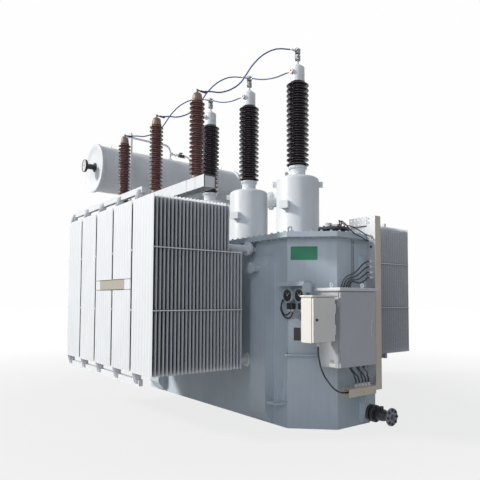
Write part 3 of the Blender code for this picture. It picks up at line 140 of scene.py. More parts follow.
# the floor fades into the white of the sky between 3 and 9 m from the middle
floor_place = add(floor_tree, "ShaderNodeTexCoord")
floor_reach = add(floor_tree, "ShaderNodeVectorMath", {"operation": "LENGTH"}, {0: (floor_place, "Object")})
floor_fade = add(floor_tree, "ShaderNodeMapRange", {
    "From Min": 3.0, "From Max": 9.0, "To Min": 0.80, "To Max": 1.0}, {"Value": (floor_reach, "Value")})
floor_share = add(floor_tree, "ShaderNodeMath", {"operation": "MULTIPLY"}, {
    0: (floor_fade, 0), 1: (seen(floor_tree), 0)})
floor_matt = add(floor_tree, "ShaderNodeBsdfDiffuse", {"Color": linear("#a4a4a2")})
floor_white = add(floor_tree, "ShaderNodeEmission", {"Color": linear("#ffffff"), "Strength": 1.0})
floor_mix = add(floor_tree, "ShaderNodeMixShader", None, {
    0: (floor_share, 0), 1: (floor_matt, 0), 2: (floor_white, 0)})
add(floor_tree, "ShaderNodeOutputMaterial", None, {"Surface": (floor_mix, 0)})
floor.data.materials.append(floor_paper)


# Tank: welded steel plate, grit blasted and sprayed with enamel, drawn here in a pale blue-grey that is
# darker and bluer than the turrets' paint, which is painted shade. The sprayed coat has a fine orange peel,
# and rain leaves faint upright streaks on it.
def surface(name, metallic, roughness, ior=None):
    """An empty material with one shader, and the place on the object to draw its pattern by."""
    material = bpy.data.materials.new(name)
    material.use_nodes = True
    tree = material.node_tree
    tree.nodes.clear()
    shader = add(tree, "ShaderNodeBsdfPrincipled", {"Metallic": metallic, "Roughness": roughness})
    if ior:
        shader.inputs["IOR"].default_value = ior
    add(tree, "ShaderNodeOutputMaterial", None, {"Surface": (shader, 0)})
    place = add(tree, "ShaderNodeTexCoord")
    return material, tree, shader, place


def sprayed_enamel(name, clean, worn, streak, gloss):
    """Paint on steel: two close shades in soft clouds, upright rain streaks, orange peel."""
    material, tree, shader, place = surface(name, 0.0, gloss, 1.5)
    # clouds about 0.4 m across
    clouds = add(tree, "ShaderNodeTexNoise", {"Scale": 2.5, "Detail": 4.0}, {"Vector": (place, "Object")})
    # streaks about 30 mm wide and over a metre long
    squeeze = add(tree, "ShaderNodeMapping", {"Scale": (34.0, 34.0, 0.8)}, {"Vector": (place, "Object")})
    rain = add(tree, "ShaderNodeTexNoise", {"Scale": 1.0, "Detail": 3.0}, {"Vector": (squeeze, 0)})
    band = add(tree, "ShaderNodeMapRange", {"From Min": 0.45, "From Max": 0.72, "To Max": streak}, {
        "Value": (rain, "Fac")})
    spread = add(tree, "ShaderNodeMapRange", {"From Min": 0.35, "From Max": 0.7, "To Max": 0.6}, {
        "Value": (clouds, "Fac")})
    share = add(tree, "ShaderNodeMath", {"operation": "ADD", "use_clamp": True}, {
        0: (band, 0), 1: (spread, 0)})
    colour = add(tree, "ShaderNodeMix", {"data_type": "RGBA", 6: linear(clean), 7: linear(worn)}, {
        0: (share, 0)})
    tree.links.new(colour.outputs[2], shader.inputs["Base Color"])
    sheen = add(tree, "ShaderNodeMapRange", {
        "From Min": 0.3, "From Max": 0.7, "To Min": gloss - 0.06, "To Max": gloss + 0.10}, {
        "Value": (clouds, "Fac")})
    tree.links.new(sheen.outputs[0], shader.inputs["Roughness"])
    # orange peel is 1 to 2 mm across; drawn at 8 mm so that it shows
    peel = add(tree, "ShaderNodeTexNoise", {"Scale": 125.0, "Detail": 2.0}, {"Vector": (place, "Object")})
    bump = add(tree, "ShaderNodeBump", {"Strength": 0.12, "Distance": 0.002}, {"Height": (peel, "Fac")})
    tree.links.new(bump.outputs[0], shader.inputs["Normal"])
    return material


def dress(name, material):
    """A CAD node keeps its shape and gets its real finish."""
    slots = nodes[name].data.materials
    if slots:
        slots[0] = material
    else:
        slots.append(material)


# painted shade: the tank's colour is drawn darker and bluer than the turrets' paint
tank_enamel = sprayed_enamel("sprayed_enamel_with_painted_shade", "#c6d1d8", "#b8c4cc", 0.35, 0.42)
dress("tank_body", tank_enamel)
dress("tank_cover", tank_enamel)


# Radiators: ten removable units, each a stack of pressed steel panels on two header
# pipes. A panel is two thin sheets, welded round the rim and between its seven oil
# channels, and the stack is held apart by welded tie bars. Sprayed pale grey.
def alone():
    """Nothing stays selected, so that the next operator acts on the new piece only."""
    if bpy.context.object and bpy.context.object.mode != "OBJECT":
        bpy.ops.object.mode_set(mode="OBJECT")
    bpy.ops.object.select_all(action="DESELECT")


def take(piece):
    """Selects one piece and nothing else."""
    alone()
    piece.select_set(True)
    bpy.context.view_layer.objects.active = piece


@contextmanager
def edit_mode():
    """What is done inside is done in edit mode."""
    bpy.ops.object.mode_set(mode="EDIT")
    yield
    bpy.ops.object.mode_set(mode="OBJECT")


def settle(name):
    """Names the piece just made and puts its place into its mesh."""
    piece = bpy.context.active_object
    piece.name = name
    piece.data.name = name
    bpy.ops.object.transform_apply(location=True, rotation=True, scale=True)
    return piece


def pick(test):
    """In edit mode, selects the corners whose place passes a test, and what they bound."""
    mesh = bpy.context.edit_object.data
    work = bmesh.from_edit_mesh(mesh)
    for corner in work.verts:
        corner.select_set(bool(test(corner.co)))
    work.select_flush_mode()
    bmesh.update_edit_mesh(mesh)


def move(x=0.0, y=0.0, z=0.0):
    """In edit mode, moves what is selected."""
    bpy.ops.transform.translate(value=(x, y, z))


def extrude(x=0.0, y=0.0, z=0.0):
    """In edit mode, extrudes what is selected."""
    bpy.ops.mesh.extrude_region_move(TRANSFORM_OT_translate={"value": (x, y, z)})


def face_outwards():
    """In edit mode, turns every face outwards."""
    bpy.ops.mesh.select_all(action="SELECT")
    bpy.ops.mesh.normals_make_consistent(inside=False)


def apply_all(piece):
    """Applies a piece's modifiers, from the top down."""
    take(piece)
    for modifier in list(piece.modifiers):
        bpy.ops.object.modifier_apply(modifier=modifier.name)


def join(name, pieces):
    """Several pieces made into one, as if welded."""
    take(pieces[0])
    for piece in pieces:
        piece.select_set(True)
    if len(pieces) > 1:
        bpy.ops.object.join()
    pieces[0].name = name
    pieces[0].data.name = name
    return pieces[0]


def repeat(piece, places):
    """The piece again at each place of a list, all in one mesh."""
    work = bmesh.new()
    for place in places:
        copy = piece.data.copy()
        copy.transform(place)
        work.from_mesh(copy)
        bpy.data.meshes.remove(copy)
    work.to_mesh(piece.data)
    work.free()
    return piece


def finish(piece, material, body="transformer", angle=35.0):
    """Smooths a piece, gives it its material and fixes it to its body."""
    take(piece)
    bpy.ops.object.shade_smooth_by_angle(angle=math.radians(angle))
    piece.data.materials.clear()
    piece.data.materials.append(material)
    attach(piece, body)


def replace(piece, material, node, angle=35.0):
    """Finishes a piece that stands for a CAD node."""
    finish(piece, material, angle=angle)
    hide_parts(node)


def block(name, low, high, edge=0.0, steps=2):
    """A rectangular piece between two corners, with its edges broken."""
    low, high = Vector(low), Vector(high)
    alone()
    bpy.ops.mesh.primitive_cube_add(size=1.0, location=(low + high) / 2)
    bpy.context.active_object.scale = high - low
    piece = settle(name)
    if edge:
        with edit_mode():
            bpy.ops.mesh.bevel(offset=edge, segments=steps, affect="EDGES")
    return piece


def flat_bar(name, low, high):
    """A cut sheet or bar with its edges just taken off."""
    return block(name, low, high, 0.001, 1)


def bar(name, start, end, radius, sides=16, edge=0.0):
    """A straight round bar between two points."""
    start, end = Vector(start), Vector(end)
    alone()
    bpy.ops.mesh.primitive_cylinder_add(
        vertices=sides, radius=radius, depth=(end - start).length, location=(start + end) / 2,
        rotation=(end - start).to_track_quat("Z", "Y").to_euler())
    piece = settle(name)
    if edge:
        cut = piece.modifiers.new("edge", "BEVEL")
        cut.width = edge
        cut.segments = 2
        cut.angle_limit = math.radians(50)
        apply_all(piece)
    return piece


radiator_enamel = sprayed_enamel("sprayed_pale_grey_enamel", "#ebeef0", "#e3e6e8", 0.2, 0.42)
panel_enamel = sprayed_enamel("pale_grey_enamel_with_painted_gap_shade", "#ebeef0", "#e3e6e8", 0.2, 0.42)
# painted shade: between the panels, where ambient occlusion finds other surfaces within 0.22 m, the enamel is
# drawn down towards a near-black grey
panel_tree = panel_enamel.node_tree
panel_shader = next(node for node in panel_tree.nodes if node.type == "BSDF_PRINCIPLED")
panel_colour = panel_shader.inputs["Base Color"].links[0].from_node
gap_openness = add(panel_tree, "ShaderNodeAmbientOcclusion", {"samples": 6, "Distance": 0.22})
unshaded_share = add(panel_tree, "ShaderNodeMapRange", {"From Min": 0.08, "From Max": 0.45}, {
    "Value": (gap_openness, "AO")})
# the near-black grey of the painted shade between the panels
gap_shaded_colour = add(panel_tree, "ShaderNodeMix", {"data_type": "RGBA", 6: linear("#3f4449")}, {
    0: (unshaded_share, 0), 7: (panel_colour, 2)})
panel_tree.links.new(gap_shaded_colour.outputs[2], panel_shader.inputs["Base Color"])
units = 5
unit_pitch = 0.543
unit_width = 0.507
unit_middles = [((units - 1) / 2 - number) * unit_pitch for number in range(units)]
banks = (("left", -1), ("right", 1))
bank_face = 2.195
panel_pitch = 0.045
panel_seat = 0.009
panel_half = 0.0075
panel_seam = 0.0015
panel_rim = 0.035
panel_foot = 0.66
tall_top, short_top = 2.558, 2.023
tall_panels, short_panels = 22, 4
channels = 7
channel_pitch = 0.0690
channel_crest = 0.0215
channel_valley = 0.0295
header_levels = (2.085, 0.72)
header_radius = 0.045
flange_radius = 0.085
flange_starts = (0.120, 0.098)
flange_thick = 0.018
tank_side = 0.68
tie_levels = (1.34, 2.0)


def panel(name, top):
    """One oil-filled panel, standing with its middle plane on y = 0."""
    columns = {-unit_width / 2: False}
    for number in range(channels):
        middle = (number - (channels - 1) / 2) * channel_pitch
        columns[middle - channel_valley] = False
        columns[middle - channel_crest] = True
        columns[middle + channel_crest] = True
        columns[middle + channel_valley] = False
    columns[unit_width / 2] = False
    raised = [place for place, crest in columns.items() if crest]
    rows = (panel_foot, panel_foot + panel_rim, top - panel_rim, top)
    alone()
    bpy.ops.mesh.primitive_grid_add(
        x_subdivisions=len(columns) - 1, y_subdivisions=len(rows) - 1, size=2.0,
        rotation=(math.pi / 2, 0.0, 0.0))
    piece = settle(name)
    with edit_mode():
        # each row and column of the grid is moved off to its place, the far ones first
        for axis, places in (("z", rows), ("x", list(columns))):
            step = 2.0 / (len(places) - 1)
            for number in reversed(range(len(places))):
                old = -1.0 + step * number
                pick(lambda corner: abs(getattr(corner, axis) - old) < step / 4)
                move(**{axis: 10.0 + places[number] - old})
            bpy.ops.mesh.select_all(action="SELECT")
            move(**{axis: -10.0})
        pick(lambda corner: rows[0] + 0.001 < corner.z < rows[-1] - 0.001
             and any(abs(corner.x - column) < 0.001 for column in raised))
        move(y=panel_seam - panel_half)
        bpy.ops.mesh.select_all(action="SELECT")
        move(y=-panel_seam)
        bpy.ops.mesh.region_to_loop()
        bpy.ops.mesh.extrude_edges_move(TRANSFORM_OT_translate={"value": (0.0, panel_seam, 0.0)})
    mirror = piece.modifiers.new("second_sheet", "MIRROR")
    mirror.use_axis = (False, True, False)
    mirror.merge_threshold = 0.0001
    apply_all(piece)
    with edit_mode():
        face_outwards()
    return piece


parts = []
for top, first, count in ((tall_top, 0, tall_panels), (short_top, tall_panels, short_panels)):
    parts.append(repeat(panel("panels", top), [
        Matrix.Translation((0.0, panel_seat + panel_pitch * number, 0.0))
        for number in range(first, first + count)]))
stack_depth = panel_pitch * (tall_panels + short_panels - 1) + 2 * panel_seat
wall_gap = bank_face - tank_side - 0.001
for height in header_levels:
    parts.append(bar("header", (0, 0.010, height), (0, wall_gap, height), header_radius, 24))
    for start in flange_starts:
        face = wall_gap - start
        parts.append(bar(
            "flange", (0, face, height), (0, face + flange_thick, height), flange_radius, 32, 0.002))
for side in (-1, 1):
    for height in tie_levels:
        parts.append(flat_bar(
            "tie_bar", (side * unit_width / 2 - 0.004, 0.002, height - 0.006),
            (side * unit_width / 2 + 0.004, stack_depth, height + 0.006)))
unit = join("radiator_unit", parts)
for bank, face in banks:
    for number, middle in enumerate(unit_middles):
        name = f"radiator_{bank}_{number + 1}"
        copy = unit.copy()
        copy.data = unit.data.copy()
        copy.name = name + "_panels"
        copy.data.name = name + "_panels"
        scene.collection.objects.link(copy)
        # the outer face of the stack looks away from the tank
        copy.data.transform(Matrix((
            (-face, 0, 0, middle), (0, -face, 0, face * bank_face), (0, 0, 1, 0), (0, 0, 0, 1))))
        replace(copy, panel_enamel, name, 30.0)
bpy.data.objects.remove(unit)


# High-voltage bushings: glazed porcelain on a welded steel turret, with a cast head
# bolted on top. The porcelain is thrown, turned to its sheds, glazed and fired.
def turn_up(name, outline, sides, centre=(0.0, 0.0), foot=0.0, stand=Matrix(), closed=True):
    """A turned piece, drawn up ring by ring by (radius, height above its foot) pairs."""
    radius, height = outline[0]
    alone()
    bpy.ops.mesh.primitive_circle_add(
        vertices=sides, radius=radius, fill_type="NGON" if closed else "NOTHING",
        location=(*centre, foot + height))
    piece = settle(name)
    with edit_mode():
        bpy.ops.mesh.select_all(action="SELECT")
        for (before, low), (after, high) in zip(outline, outline[1:]):
            extrude(z=high - low)
            bpy.ops.transform.resize(
                value=(after / before, after / before, 1.0), center_override=(*centre, foot + high))
        if closed:
            bpy.ops.mesh.select_all(action="DESELECT")
            bpy.ops.mesh.select_non_manifold()
            bpy.ops.mesh.edge_face_add()
        face_outwards()
    piece.data.transform(stand)
    return piece


def porcelain_body(name, centre, foot, height, sheds, core, tip, sides):
    """A porcelain insulator: one shed is turned, then stacked by its pitch."""
    pitch = height / sheds
    # from the core out along the shed's upper side and back below, as shares of reach and pitch
    shed = ((0.0, 0.0), (0.06, 0.16), (0.62, 0.24), (0.93, 0.26), (1.0, 0.33), (0.95, 0.42), (0.66, 0.54),
            (0.20, 0.74), (0.0, 1.0))
    outline = [(core + (tip - core) * out, pitch * up) for out, up in shed]
    piece = turn_up(name, outline, sides, centre, foot, closed=False)
    stack = piece.modifiers.new("sheds", "ARRAY")
    stack.use_relative_offset = False
    stack.use_constant_offset = True
    stack.constant_offset_displace = (0.0, 0.0, pitch)
    stack.count = sheds
    stack.use_merge_vertices = True
    stack.merge_threshold = 0.0002
    apply_all(piece)
    with edit_mode():
        for level in (foot, foot + height):
            pick(lambda corner: abs(corner.z - level) < 0.0005)
            bpy.ops.mesh.edge_face_add()
        face_outwards()
    return piece


def glazed_porcelain(name, thick, thin):
    """Fired glaze: darker where it pooled, a little paler where it ran thin, and very glossy."""
    material, tree, shader, place = surface(name, 0.0, 0.16, 1.55)
    # the glaze runs in clouds about 60 mm across
    clouds = add(tree, "ShaderNodeTexNoise", {"Scale": 16.0, "Detail": 3.0}, {"Vector": (place, "Object")})
    share = add(tree, "ShaderNodeMapRange", {"From Min": 0.4, "From Max": 0.7}, {"Value": (clouds, "Fac")})
    colour = add(tree, "ShaderNodeMix", {"data_type": "RGBA", 6: linear(thick), 7: linear(thin)}, {
        0: (share, 0)})
    tree.links.new(colour.outputs[2], shader.inputs["Base Color"])
    dust = add(tree, "ShaderNodeTexNoise", {"Scale": 60.0, "Detail": 4.0}, {"Vector": (place, "Object")})
    dull = add(tree, "ShaderNodeMapRange", {
        "From Min": 0.4, "From Max": 0.75, "To Min": 0.13, "To Max": 0.30}, {"Value": (dust, "Fac")})
    tree.links.new(dull.outputs[0], shader.inputs["Roughness"])
    return material


def cast_metal(name, bright, dull, roughness):
    """Sand-cast aluminium: an even grain from the mould, and a grey skin of oxide."""
    material, tree, shader, place = surface(name, 1.0, roughness)
    # grain of the sand, drawn at 4 mm so that it shows
    grain = add(tree, "ShaderNodeTexNoise", {"Scale": 250.0, "Detail": 2.0}, {"Vector": (place, "Object")})
    cloud = add(tree, "ShaderNodeTexNoise", {"Scale": 22.0, "Detail": 3.0}, {"Vector": (place, "Object")})
    colour = add(tree, "ShaderNodeMix", {"data_type": "RGBA", 6: linear(bright), 7: linear(dull)}, {
        0: (cloud, "Fac")})
    tree.links.new(colour.outputs[2], shader.inputs["Base Color"])
    rough = add(tree, "ShaderNodeMapRange", {
        "To Min": roughness - 0.1, "To Max": roughness + 0.12}, {"Value": (cloud, "Fac")})
    tree.links.new(rough.outputs[0], shader.inputs["Roughness"])
    bump = add(tree, "ShaderNodeBump", {"Strength": 0.25, "Distance": 0.001}, {"Height": (grain, "Fac")})
    tree.links.new(bump.outputs[0], shader.inputs["Normal"])
    return material


def plated(name, bright, dull, roughness):
    """Zinc-plated steel: a soft grey metal with cloudy bright and dull patches."""
    material, tree, shader, place = surface(name, 1.0, roughness)
    # patches about 25 mm across
    cloud = add(tree, "ShaderNodeTexNoise", {"Scale": 40.0, "Detail": 4.0}, {"Vector": (place, "Object")})
    colour = add(tree, "ShaderNodeMix", {"data_type": "RGBA", 6: linear(bright), 7: linear(dull)}, {
        0: (cloud, "Fac")})
    tree.links.new(colour.outputs[2], shader.inputs["Base Color"])
    rough = add(tree, "ShaderNodeMapRange", {
        "To Min": roughness - 0.12, "To Max": roughness + 0.15}, {"Value": (cloud, "Fac")})
    tree.links.new(rough.outputs[0], shader.inputs["Roughness"])
    return material


dark_porcelain = glazed_porcelain("dark_glazed_porcelain", "#1b141b", "#34252d")
white_enamel = sprayed_enamel("sprayed_white_enamel", "#eceff0", "#e1e4e6", 0.2, 0.38)
turret_enamel = sprayed_enamel("sprayed_pale_turret_enamel", "#e6eaec", "#dadfe2", 0.3, 0.40)
weathered_clamp = cast_metal("weathered_cast_aluminium", "#85888b", "#686b6e", 0.5)
red_cap = sprayed_enamel("red_sealing_paint", "#d8482f", "#c43d27", 0.1, 0.4)
plated_steel = plated("zinc_plated_steel", "#c4c6c8", "#96999c", 0.38)
phase_places = {"a": 1.24, "b": 0.18, "c": -0.88}
phase_y = -0.08


def facing(position, direction):
    """The place that stands a piece, made along +Z at the origin, on a surface."""
    turn = Vector(direction).to_track_quat("Z", "Y").to_matrix().to_4x4()
    return Matrix.Translation(position) @ turn


def ring(centre, direction, radius, count):
    """Places spaced evenly round an axis, each facing along it."""
    stand = facing(centre, direction)
    places = []
    for number in range(count):
        angle = 2 * math.pi * number / count
        places.append(stand @ Matrix.Translation((radius * math.cos(angle), radius * math.sin(angle), 0.0)))
    return places


def bolts(name, places, across):
    """Hexagon bolt heads on washers, at each place of a list."""
    washer = bar("washer", (0, 0, 0), (0, 0, across * 0.12), across * 0.78, 14)
    alone()
    bpy.ops.mesh.primitive_cylinder_add(
        vertices=6, radius=across * 0.577, depth=across * 0.6, location=(0.0, 0.0, across * 0.42))
    head = settle("head")
    with edit_mode():
        pick(lambda corner: corner.z > across * 0.6)
        bpy.ops.mesh.bevel(offset=across * 0.08, segments=1, affect="EDGES")
    return repeat(join(name, [washer, head]), places)


def bolt_on(name, places, across):
    """Zinc-plated bolts, as a piece of their own."""
    finish(bolts(name, places, across), plated_steel)


turret_outline = [
    (0.34, 0.0), (0.34, 0.028), (0.338, 0.030), (0.29, 0.030), (0.283, 0.036), (0.28, 0.045), (0.28, 0.77),
    (0.276, 0.785), (0.265, 0.80), (0.245, 0.812), (0.20, 0.822), (0.15, 0.828), (0.135, 0.83),
    (0.106, 0.834), (0.102, 0.85), (0.102, 0.925), (0.106, 0.935), (0.119, 0.938), (0.12, 0.942)]
port_outline = [
    (0.085, 0.0), (0.085, 0.065), (0.089, 0.071), (0.118, 0.073), (0.12, 0.076), (0.12, 0.090),
    (0.118, 0.092), (0.118, 0.0935), (0.12, 0.095), (0.12, 0.108), (0.117, 0.110)]
head_outline = [
    (0.096, 0.0), (0.098, 0.002), (0.098, 0.016), (0.093, 0.018), (0.093, 0.195), (0.088, 0.203),
    (0.05, 0.232), (0.026, 0.25), (0.022, 0.262), (0.016, 0.266), (0.016, 0.31)]
side_plate_outline = [
    (0.020, 0.0), (0.020, 0.012), (0.034, 0.014), (0.035, 0.016), (0.035, 0.028), (0.033, 0.030)]
port_turn = math.radians(215)
port_way = Vector((math.cos(port_turn), math.sin(port_turn), 0.0))
outlet_turn = 285
lug_turns = (50, 230)
for letter, x in phase_places.items():
    low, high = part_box(f"hv_turret_{letter}")
    foot = low.z
    shoulder = foot + 0.78
    top = high.z - foot
    centre = (x, phase_y)
    parts = [turn_up("shell", turret_outline + [(0.12, top - 0.002), (0.118, top)], 72, centre, foot)]
    port_axis = Vector((x, phase_y, shoulder - 0.24))
    parts.append(turn_up("port", port_outline, 48, stand=facing(port_axis + port_way * 0.27, port_way)))
    turned = [
        (outlet_turn, block("outlet", (0.25, -0.06, shoulder - 0.40), (0.334, 0.06, shoulder - 0.31), 0.006)),
        (outlet_turn, block(
            "lid", (0.333, -0.0655, shoulder - 0.405), (0.3395, 0.0655, shoulder - 0.305), 0.002, 1))]
    for turn in lug_turns:
        eye_level = shoulder - 0.045
        turned += [
            (turn, block(
                "lug", (0.262, -0.007, shoulder - 0.085), (0.328, 0.007, shoulder - 0.008), 0.003, 1)),
            (turn, bar("eye", (0.305, -0.009, eye_level), (0.305, 0.009, eye_level), 0.024, 24, 0.002))]
    for turn, piece in turned:
        round_axis = Matrix.Rotation(math.radians(turn), 4, "Z")
        piece.data.transform(Matrix.Translation((x, phase_y, 0)) @ round_axis)
        parts.append(piece)
    replace(join(f"hv_turret_{letter}_shell", parts), turret_enamel, f"hv_turret_{letter}")
    rows = ring((x, phase_y, foot + 0.030), (0, 0, 1), 0.316, 20)
    rows += ring((x, phase_y, high.z - 0.017), (0, 0, -1), 0.111, 12)
    rows += ring(port_axis + port_way * 0.380, port_way, 0.102, 12)
    bolt_on(f"hv_turret_{letter}_bolts", rows, 0.019)

    low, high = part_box(f"hv_bushing_{letter}")
    insulator = porcelain_body(
        f"hv_bushing_{letter}_porcelain", centre, low.z, high.z - low.z, 17, 0.095, 0.148, 48)
    replace(insulator, dark_porcelain, f"hv_bushing_{letter}", 60.0)

    low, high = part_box(f"hv_head_{letter}")
    foot = low.z
    plate_level = foot + 0.135
    filler_level = foot + 0.09
    casting = [
        turn_up("head", head_outline, 48, centre, foot),
        turn_up("side_plate", side_plate_outline, 32,
                stand=facing((x, phase_y - 0.092, plate_level), (0, -1, 0))),
        bar("filler", (x + 0.085, phase_y, filler_level), (x + 0.097, phase_y, filler_level), 0.012, 6)]
    replace(join(f"hv_head_{letter}_casting", casting), white_enamel, f"hv_head_{letter}")
    seal = turn_up(
        f"hv_head_{letter}_seal", [(0.013, 0.0), (0.013, 0.003), (0.010, 0.005), (0.003, 0.006)], 20,
        stand=facing((x, phase_y - 0.1215, plate_level), (0, -1, 0)))
    finish(seal, red_cap)
    # two pairs of jaws on the terminal post, each jaw held by four bolts
    clamps = [bar("post", (x, phase_y, foot + 0.29), (x, phase_y, high.z), 0.013, 24, 0.002)]
    rows = []
    for level in (foot + 0.298, foot + 0.388):
        for way in (-1, 1):
            jaw = x + 0.012 * way
            clamps.append(block(
                "jaw", (jaw - 0.0085, phase_y - 0.034, level),
                (jaw + 0.0085, phase_y + 0.034, level + 0.080), 0.004))
            for y in (-0.022, 0.022):
                for rise in (0.018, 0.062):
                    rows.append(facing((jaw + 0.0085 * way, phase_y + y, level + rise), (way, 0, 0)))
    finish(join(f"hv_head_{letter}_clamp", clamps), weathered_clamp)
    bolt_on(f"hv_head_{letter}_clamp_bolts", rows, 0.014)


# Surge arresters: brown glazed porcelain posts with an aluminium cap and foot, bolted
# to the beam. The stud on top takes the line lead in a crimped lug.
def rubber(name, shade, worn):
    """Extruded cable sheath or rubber: matt, a little paler where it is handled."""
    material, tree, shader, place = surface(name, 0.0, 0.55, 1.52)
    # wear in patches about 40 mm across
    wear = add(tree, "ShaderNodeTexNoise", {"Scale": 25.0, "Detail": 4.0}, {"Vector": (place, "Object")})
    share = add(tree, "ShaderNodeMapRange", {"From Min": 0.4, "From Max": 0.75}, {"Value": (wear, "Fac")})
    colour = add(tree, "ShaderNodeMix", {"data_type": "RGBA", 6: linear(shade), 7: linear(worn)}, {
        0: (share, 0)})
    tree.links.new(colour.outputs[2], shader.inputs["Base Color"])
    sheen = add(tree, "ShaderNodeMapRange", {"To Min": 0.45, "To Max": 0.68}, {"Value": (wear, "Fac")})
    tree.links.new(sheen.outputs[0], shader.inputs["Roughness"])
    # the sheath's own grain is under 1 mm, drawn at 3 mm so that it shows
    grain = add(tree, "ShaderNodeTexNoise", {"Scale": 330.0, "Detail": 1.0}, {"Vector": (place, "Object")})
    bump = add(tree, "ShaderNodeBump", {"Strength": 0.15, "Distance": 0.0006}, {"Height": (grain, "Fac")})
    tree.links.new(bump.outputs[0], shader.inputs["Normal"])
    return material


brown_porcelain = glazed_porcelain("brown_glazed_porcelain", "#5e3a36", "#7b534d")
arrester_cap = cast_metal("dull_cast_aluminium", "#75675f", "#5d524d", 0.5)
black_sheath = rubber("black_cable_sheath", "#1d1e21", "#34363a")
lug_radius = 0.0125
for number in (1, 2, 3):
    name = f"surge_arrester_{number}"
    low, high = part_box(name)
    x, y = centre = ((low.x + high.x) / 2, (low.y + high.y) / 2)
    foot = low.z + 0.05
    post = porcelain_body(name + "_porcelain", centre, foot, 0.90, 17, 0.058, 0.092, 40)
    replace(post, brown_porcelain, name, 60.0)
    cap = turn_up("cap", [
        (0.060, 0.893), (0.066, 0.897), (0.066, 0.912), (0.060, 0.918), (0.058, 0.955), (0.052, 0.985),
        (0.040, 0.998), (0.013, 1.0), (0.012, high.z - foot)], 40, centre, foot)
    base = turn_up("base", [
        (0.078, 0.0), (0.078, 0.012), (0.068, 0.014), (0.066, 0.034), (0.061, 0.054)], 40, centre, low.z)
    feet = bolts("feet", ring((x, y, low.z + 0.012), (0, 0, 1), 0.062, 6), 0.012)
    nut = bolts("nut", [facing((x, y, foot + 1.0), (0, 0, 1))], 0.02)
    finish(join(name + "_fittings", [cap, base, feet, nut]), arrester_cap)
    # the lug: a barrel crimped on the lead, flattened to an eye under the nut
    lug_level = high.z - 0.012
    lug = block(
        "lug", (x - 0.012, y - 0.002, lug_level - 0.005), (x + 0.012, y + 0.05, lug_level + 0.001), 0.002)
    barrel = bar("barrel", (x, y + 0.045, lug_level), (x, y + 0.12, lug_level), lug_radius, 20, 0.002)
    finish(join(name + "_lug", [lug, barrel]), black_sheath)


# Beam under the arresters: a rolled channel on two cranked brackets from the cover,
# with ribs beside each post and a plate on each end. Welded, then sprayed.
beam_low, beam_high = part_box("arrester_beam")
stiffeners = []
for number in (1, 2, 3):
    low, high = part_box(f"surge_arrester_{number}")
    for x in ((low.x + high.x) / 2 - 0.10, (low.x + high.x) / 2 + 0.10):
        stiffeners.append(flat_bar(
            "rib", (x - 0.004, beam_low.y, beam_low.z + 0.002),
            (x + 0.004, beam_low.y + 0.012, beam_high.z - 0.002)))
for x in (beam_low.x, beam_high.x - 0.008):
    stiffeners.append(flat_bar(
        "end_plate", (x, beam_low.y + 0.0005, beam_low.z + 0.0005),
        (x + 0.008, beam_high.y - 0.0005, beam_high.z - 0.0005)))
finish(join("arrester_beam_stiffeners", stiffeners), radiator_enamel)
dress("arrester_beam", radiator_enamel)
rows = []
for number in (1, 2):
    dress(f"arrester_bracket_{number}", radiator_enamel)
    low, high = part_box(f"arrester_bracket_{number}")
    for y in (beam_low.y + 0.03, beam_high.y - 0.03):
        for side in (-0.022, 0.022):
            rows.append(facing(((low.x + high.x) / 2 + side, y, beam_high.z), (0, 0, 1)))
bolt_on("arrester_beam_bolts", rows, 0.018)


# Neutral bushing: the same porcelain in a short size, on a plain pipe pedestal, with a
# cast head and a hooked terminal.
low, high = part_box("neutral_bushing")
neutral_x, neutral_y = neutral = ((low.x + high.x) / 2, (low.y + high.y) / 2)
insulator = porcelain_body("neutral_bushing_porcelain", neutral, low.z, high.z - low.z, 8, 0.065, 0.105, 40)
replace(insulator, dark_porcelain, "neutral_bushing", 60.0)
low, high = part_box("neutral_head")
head = turn_up("head", [
    (0.072, 0.0), (0.076, 0.003), (0.076, 0.014), (0.070, 0.018), (0.070, 0.155), (0.064, 0.165),
    (0.03, 0.188), (0.018, 0.198), (0.015, 0.205), (0.015, high.z - low.z)], 40, neutral, low.z)
eye = block("eye", (neutral_x - 0.008, neutral_y - 0.03, low.z + 0.215),
            (neutral_x + 0.008, neutral_y + 0.03, high.z - 0.012), 0.004)
replace(join("neutral_head_casting", [head, eye]), white_enamel, "neutral_head")
low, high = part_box("neutral_pedestal")
top = high.z - low.z
pedestal = turn_up("neutral_pedestal_pipe", [
    (0.14, 0.0), (0.14, 0.018), (0.138, 0.02), (0.104, 0.02), (0.10, 0.026), (0.10, top - 0.03),
    (0.118, top - 0.028), (0.12, top - 0.025), (0.12, top - 0.004), (0.118, top)], 48, neutral, low.z)
replace(pedestal, turret_enamel, "neutral_pedestal")
rows = ring((neutral_x, neutral_y, low.z + 0.02), (0, 0, 1), 0.122, 8)
rows += ring((neutral_x, neutral_y, high.z - 0.03), (0, 0, -1), 0.110, 8)
bolt_on("neutral_pedestal_bolts", rows, 0.016)


# Tank cover: thick plate, bolted through the rim all round, with a lifting eye at
# each corner.
def walk(corners, pitch, height):
    """Places facing up, spaced along a closed outline."""
    places = []
    for here, there in zip(corners, corners[1:] + corners[:1]):
        here, there = Vector((*here, height)), Vector((*there, height))
        count = max(1, round((there - here).length / pitch))
        for number in range(count):
            places.append(Matrix.Translation(here.lerp(there, (number + 0.5) / count)))
    return places


def octagon(half_length, half_width, chamfer):
    """Plan of the tank: a rectangle with its corners cut off."""
    inner_x, inner_y = half_length - chamfer, half_width - chamfer
    return [
        (half_length, -inner_y), (half_length, inner_y), (inner_x, half_width), (-inner_x, half_width),
        (-half_length, inner_y), (-half_length, -inner_y), (-inner_x, -half_width), (inner_x, -half_width)]


def hoop(name, centre, radius, thickness, turn=(0.0, 0.0, 0.0), sides=12):
    """A ring of round bar, lying flat before it is turned."""
    alone()
    bpy.ops.mesh.primitive_torus_add(
        major_radius=radius, minor_radius=thickness, major_segments=28, minor_segments=sides,
        location=centre, rotation=turn)
    return settle(name)


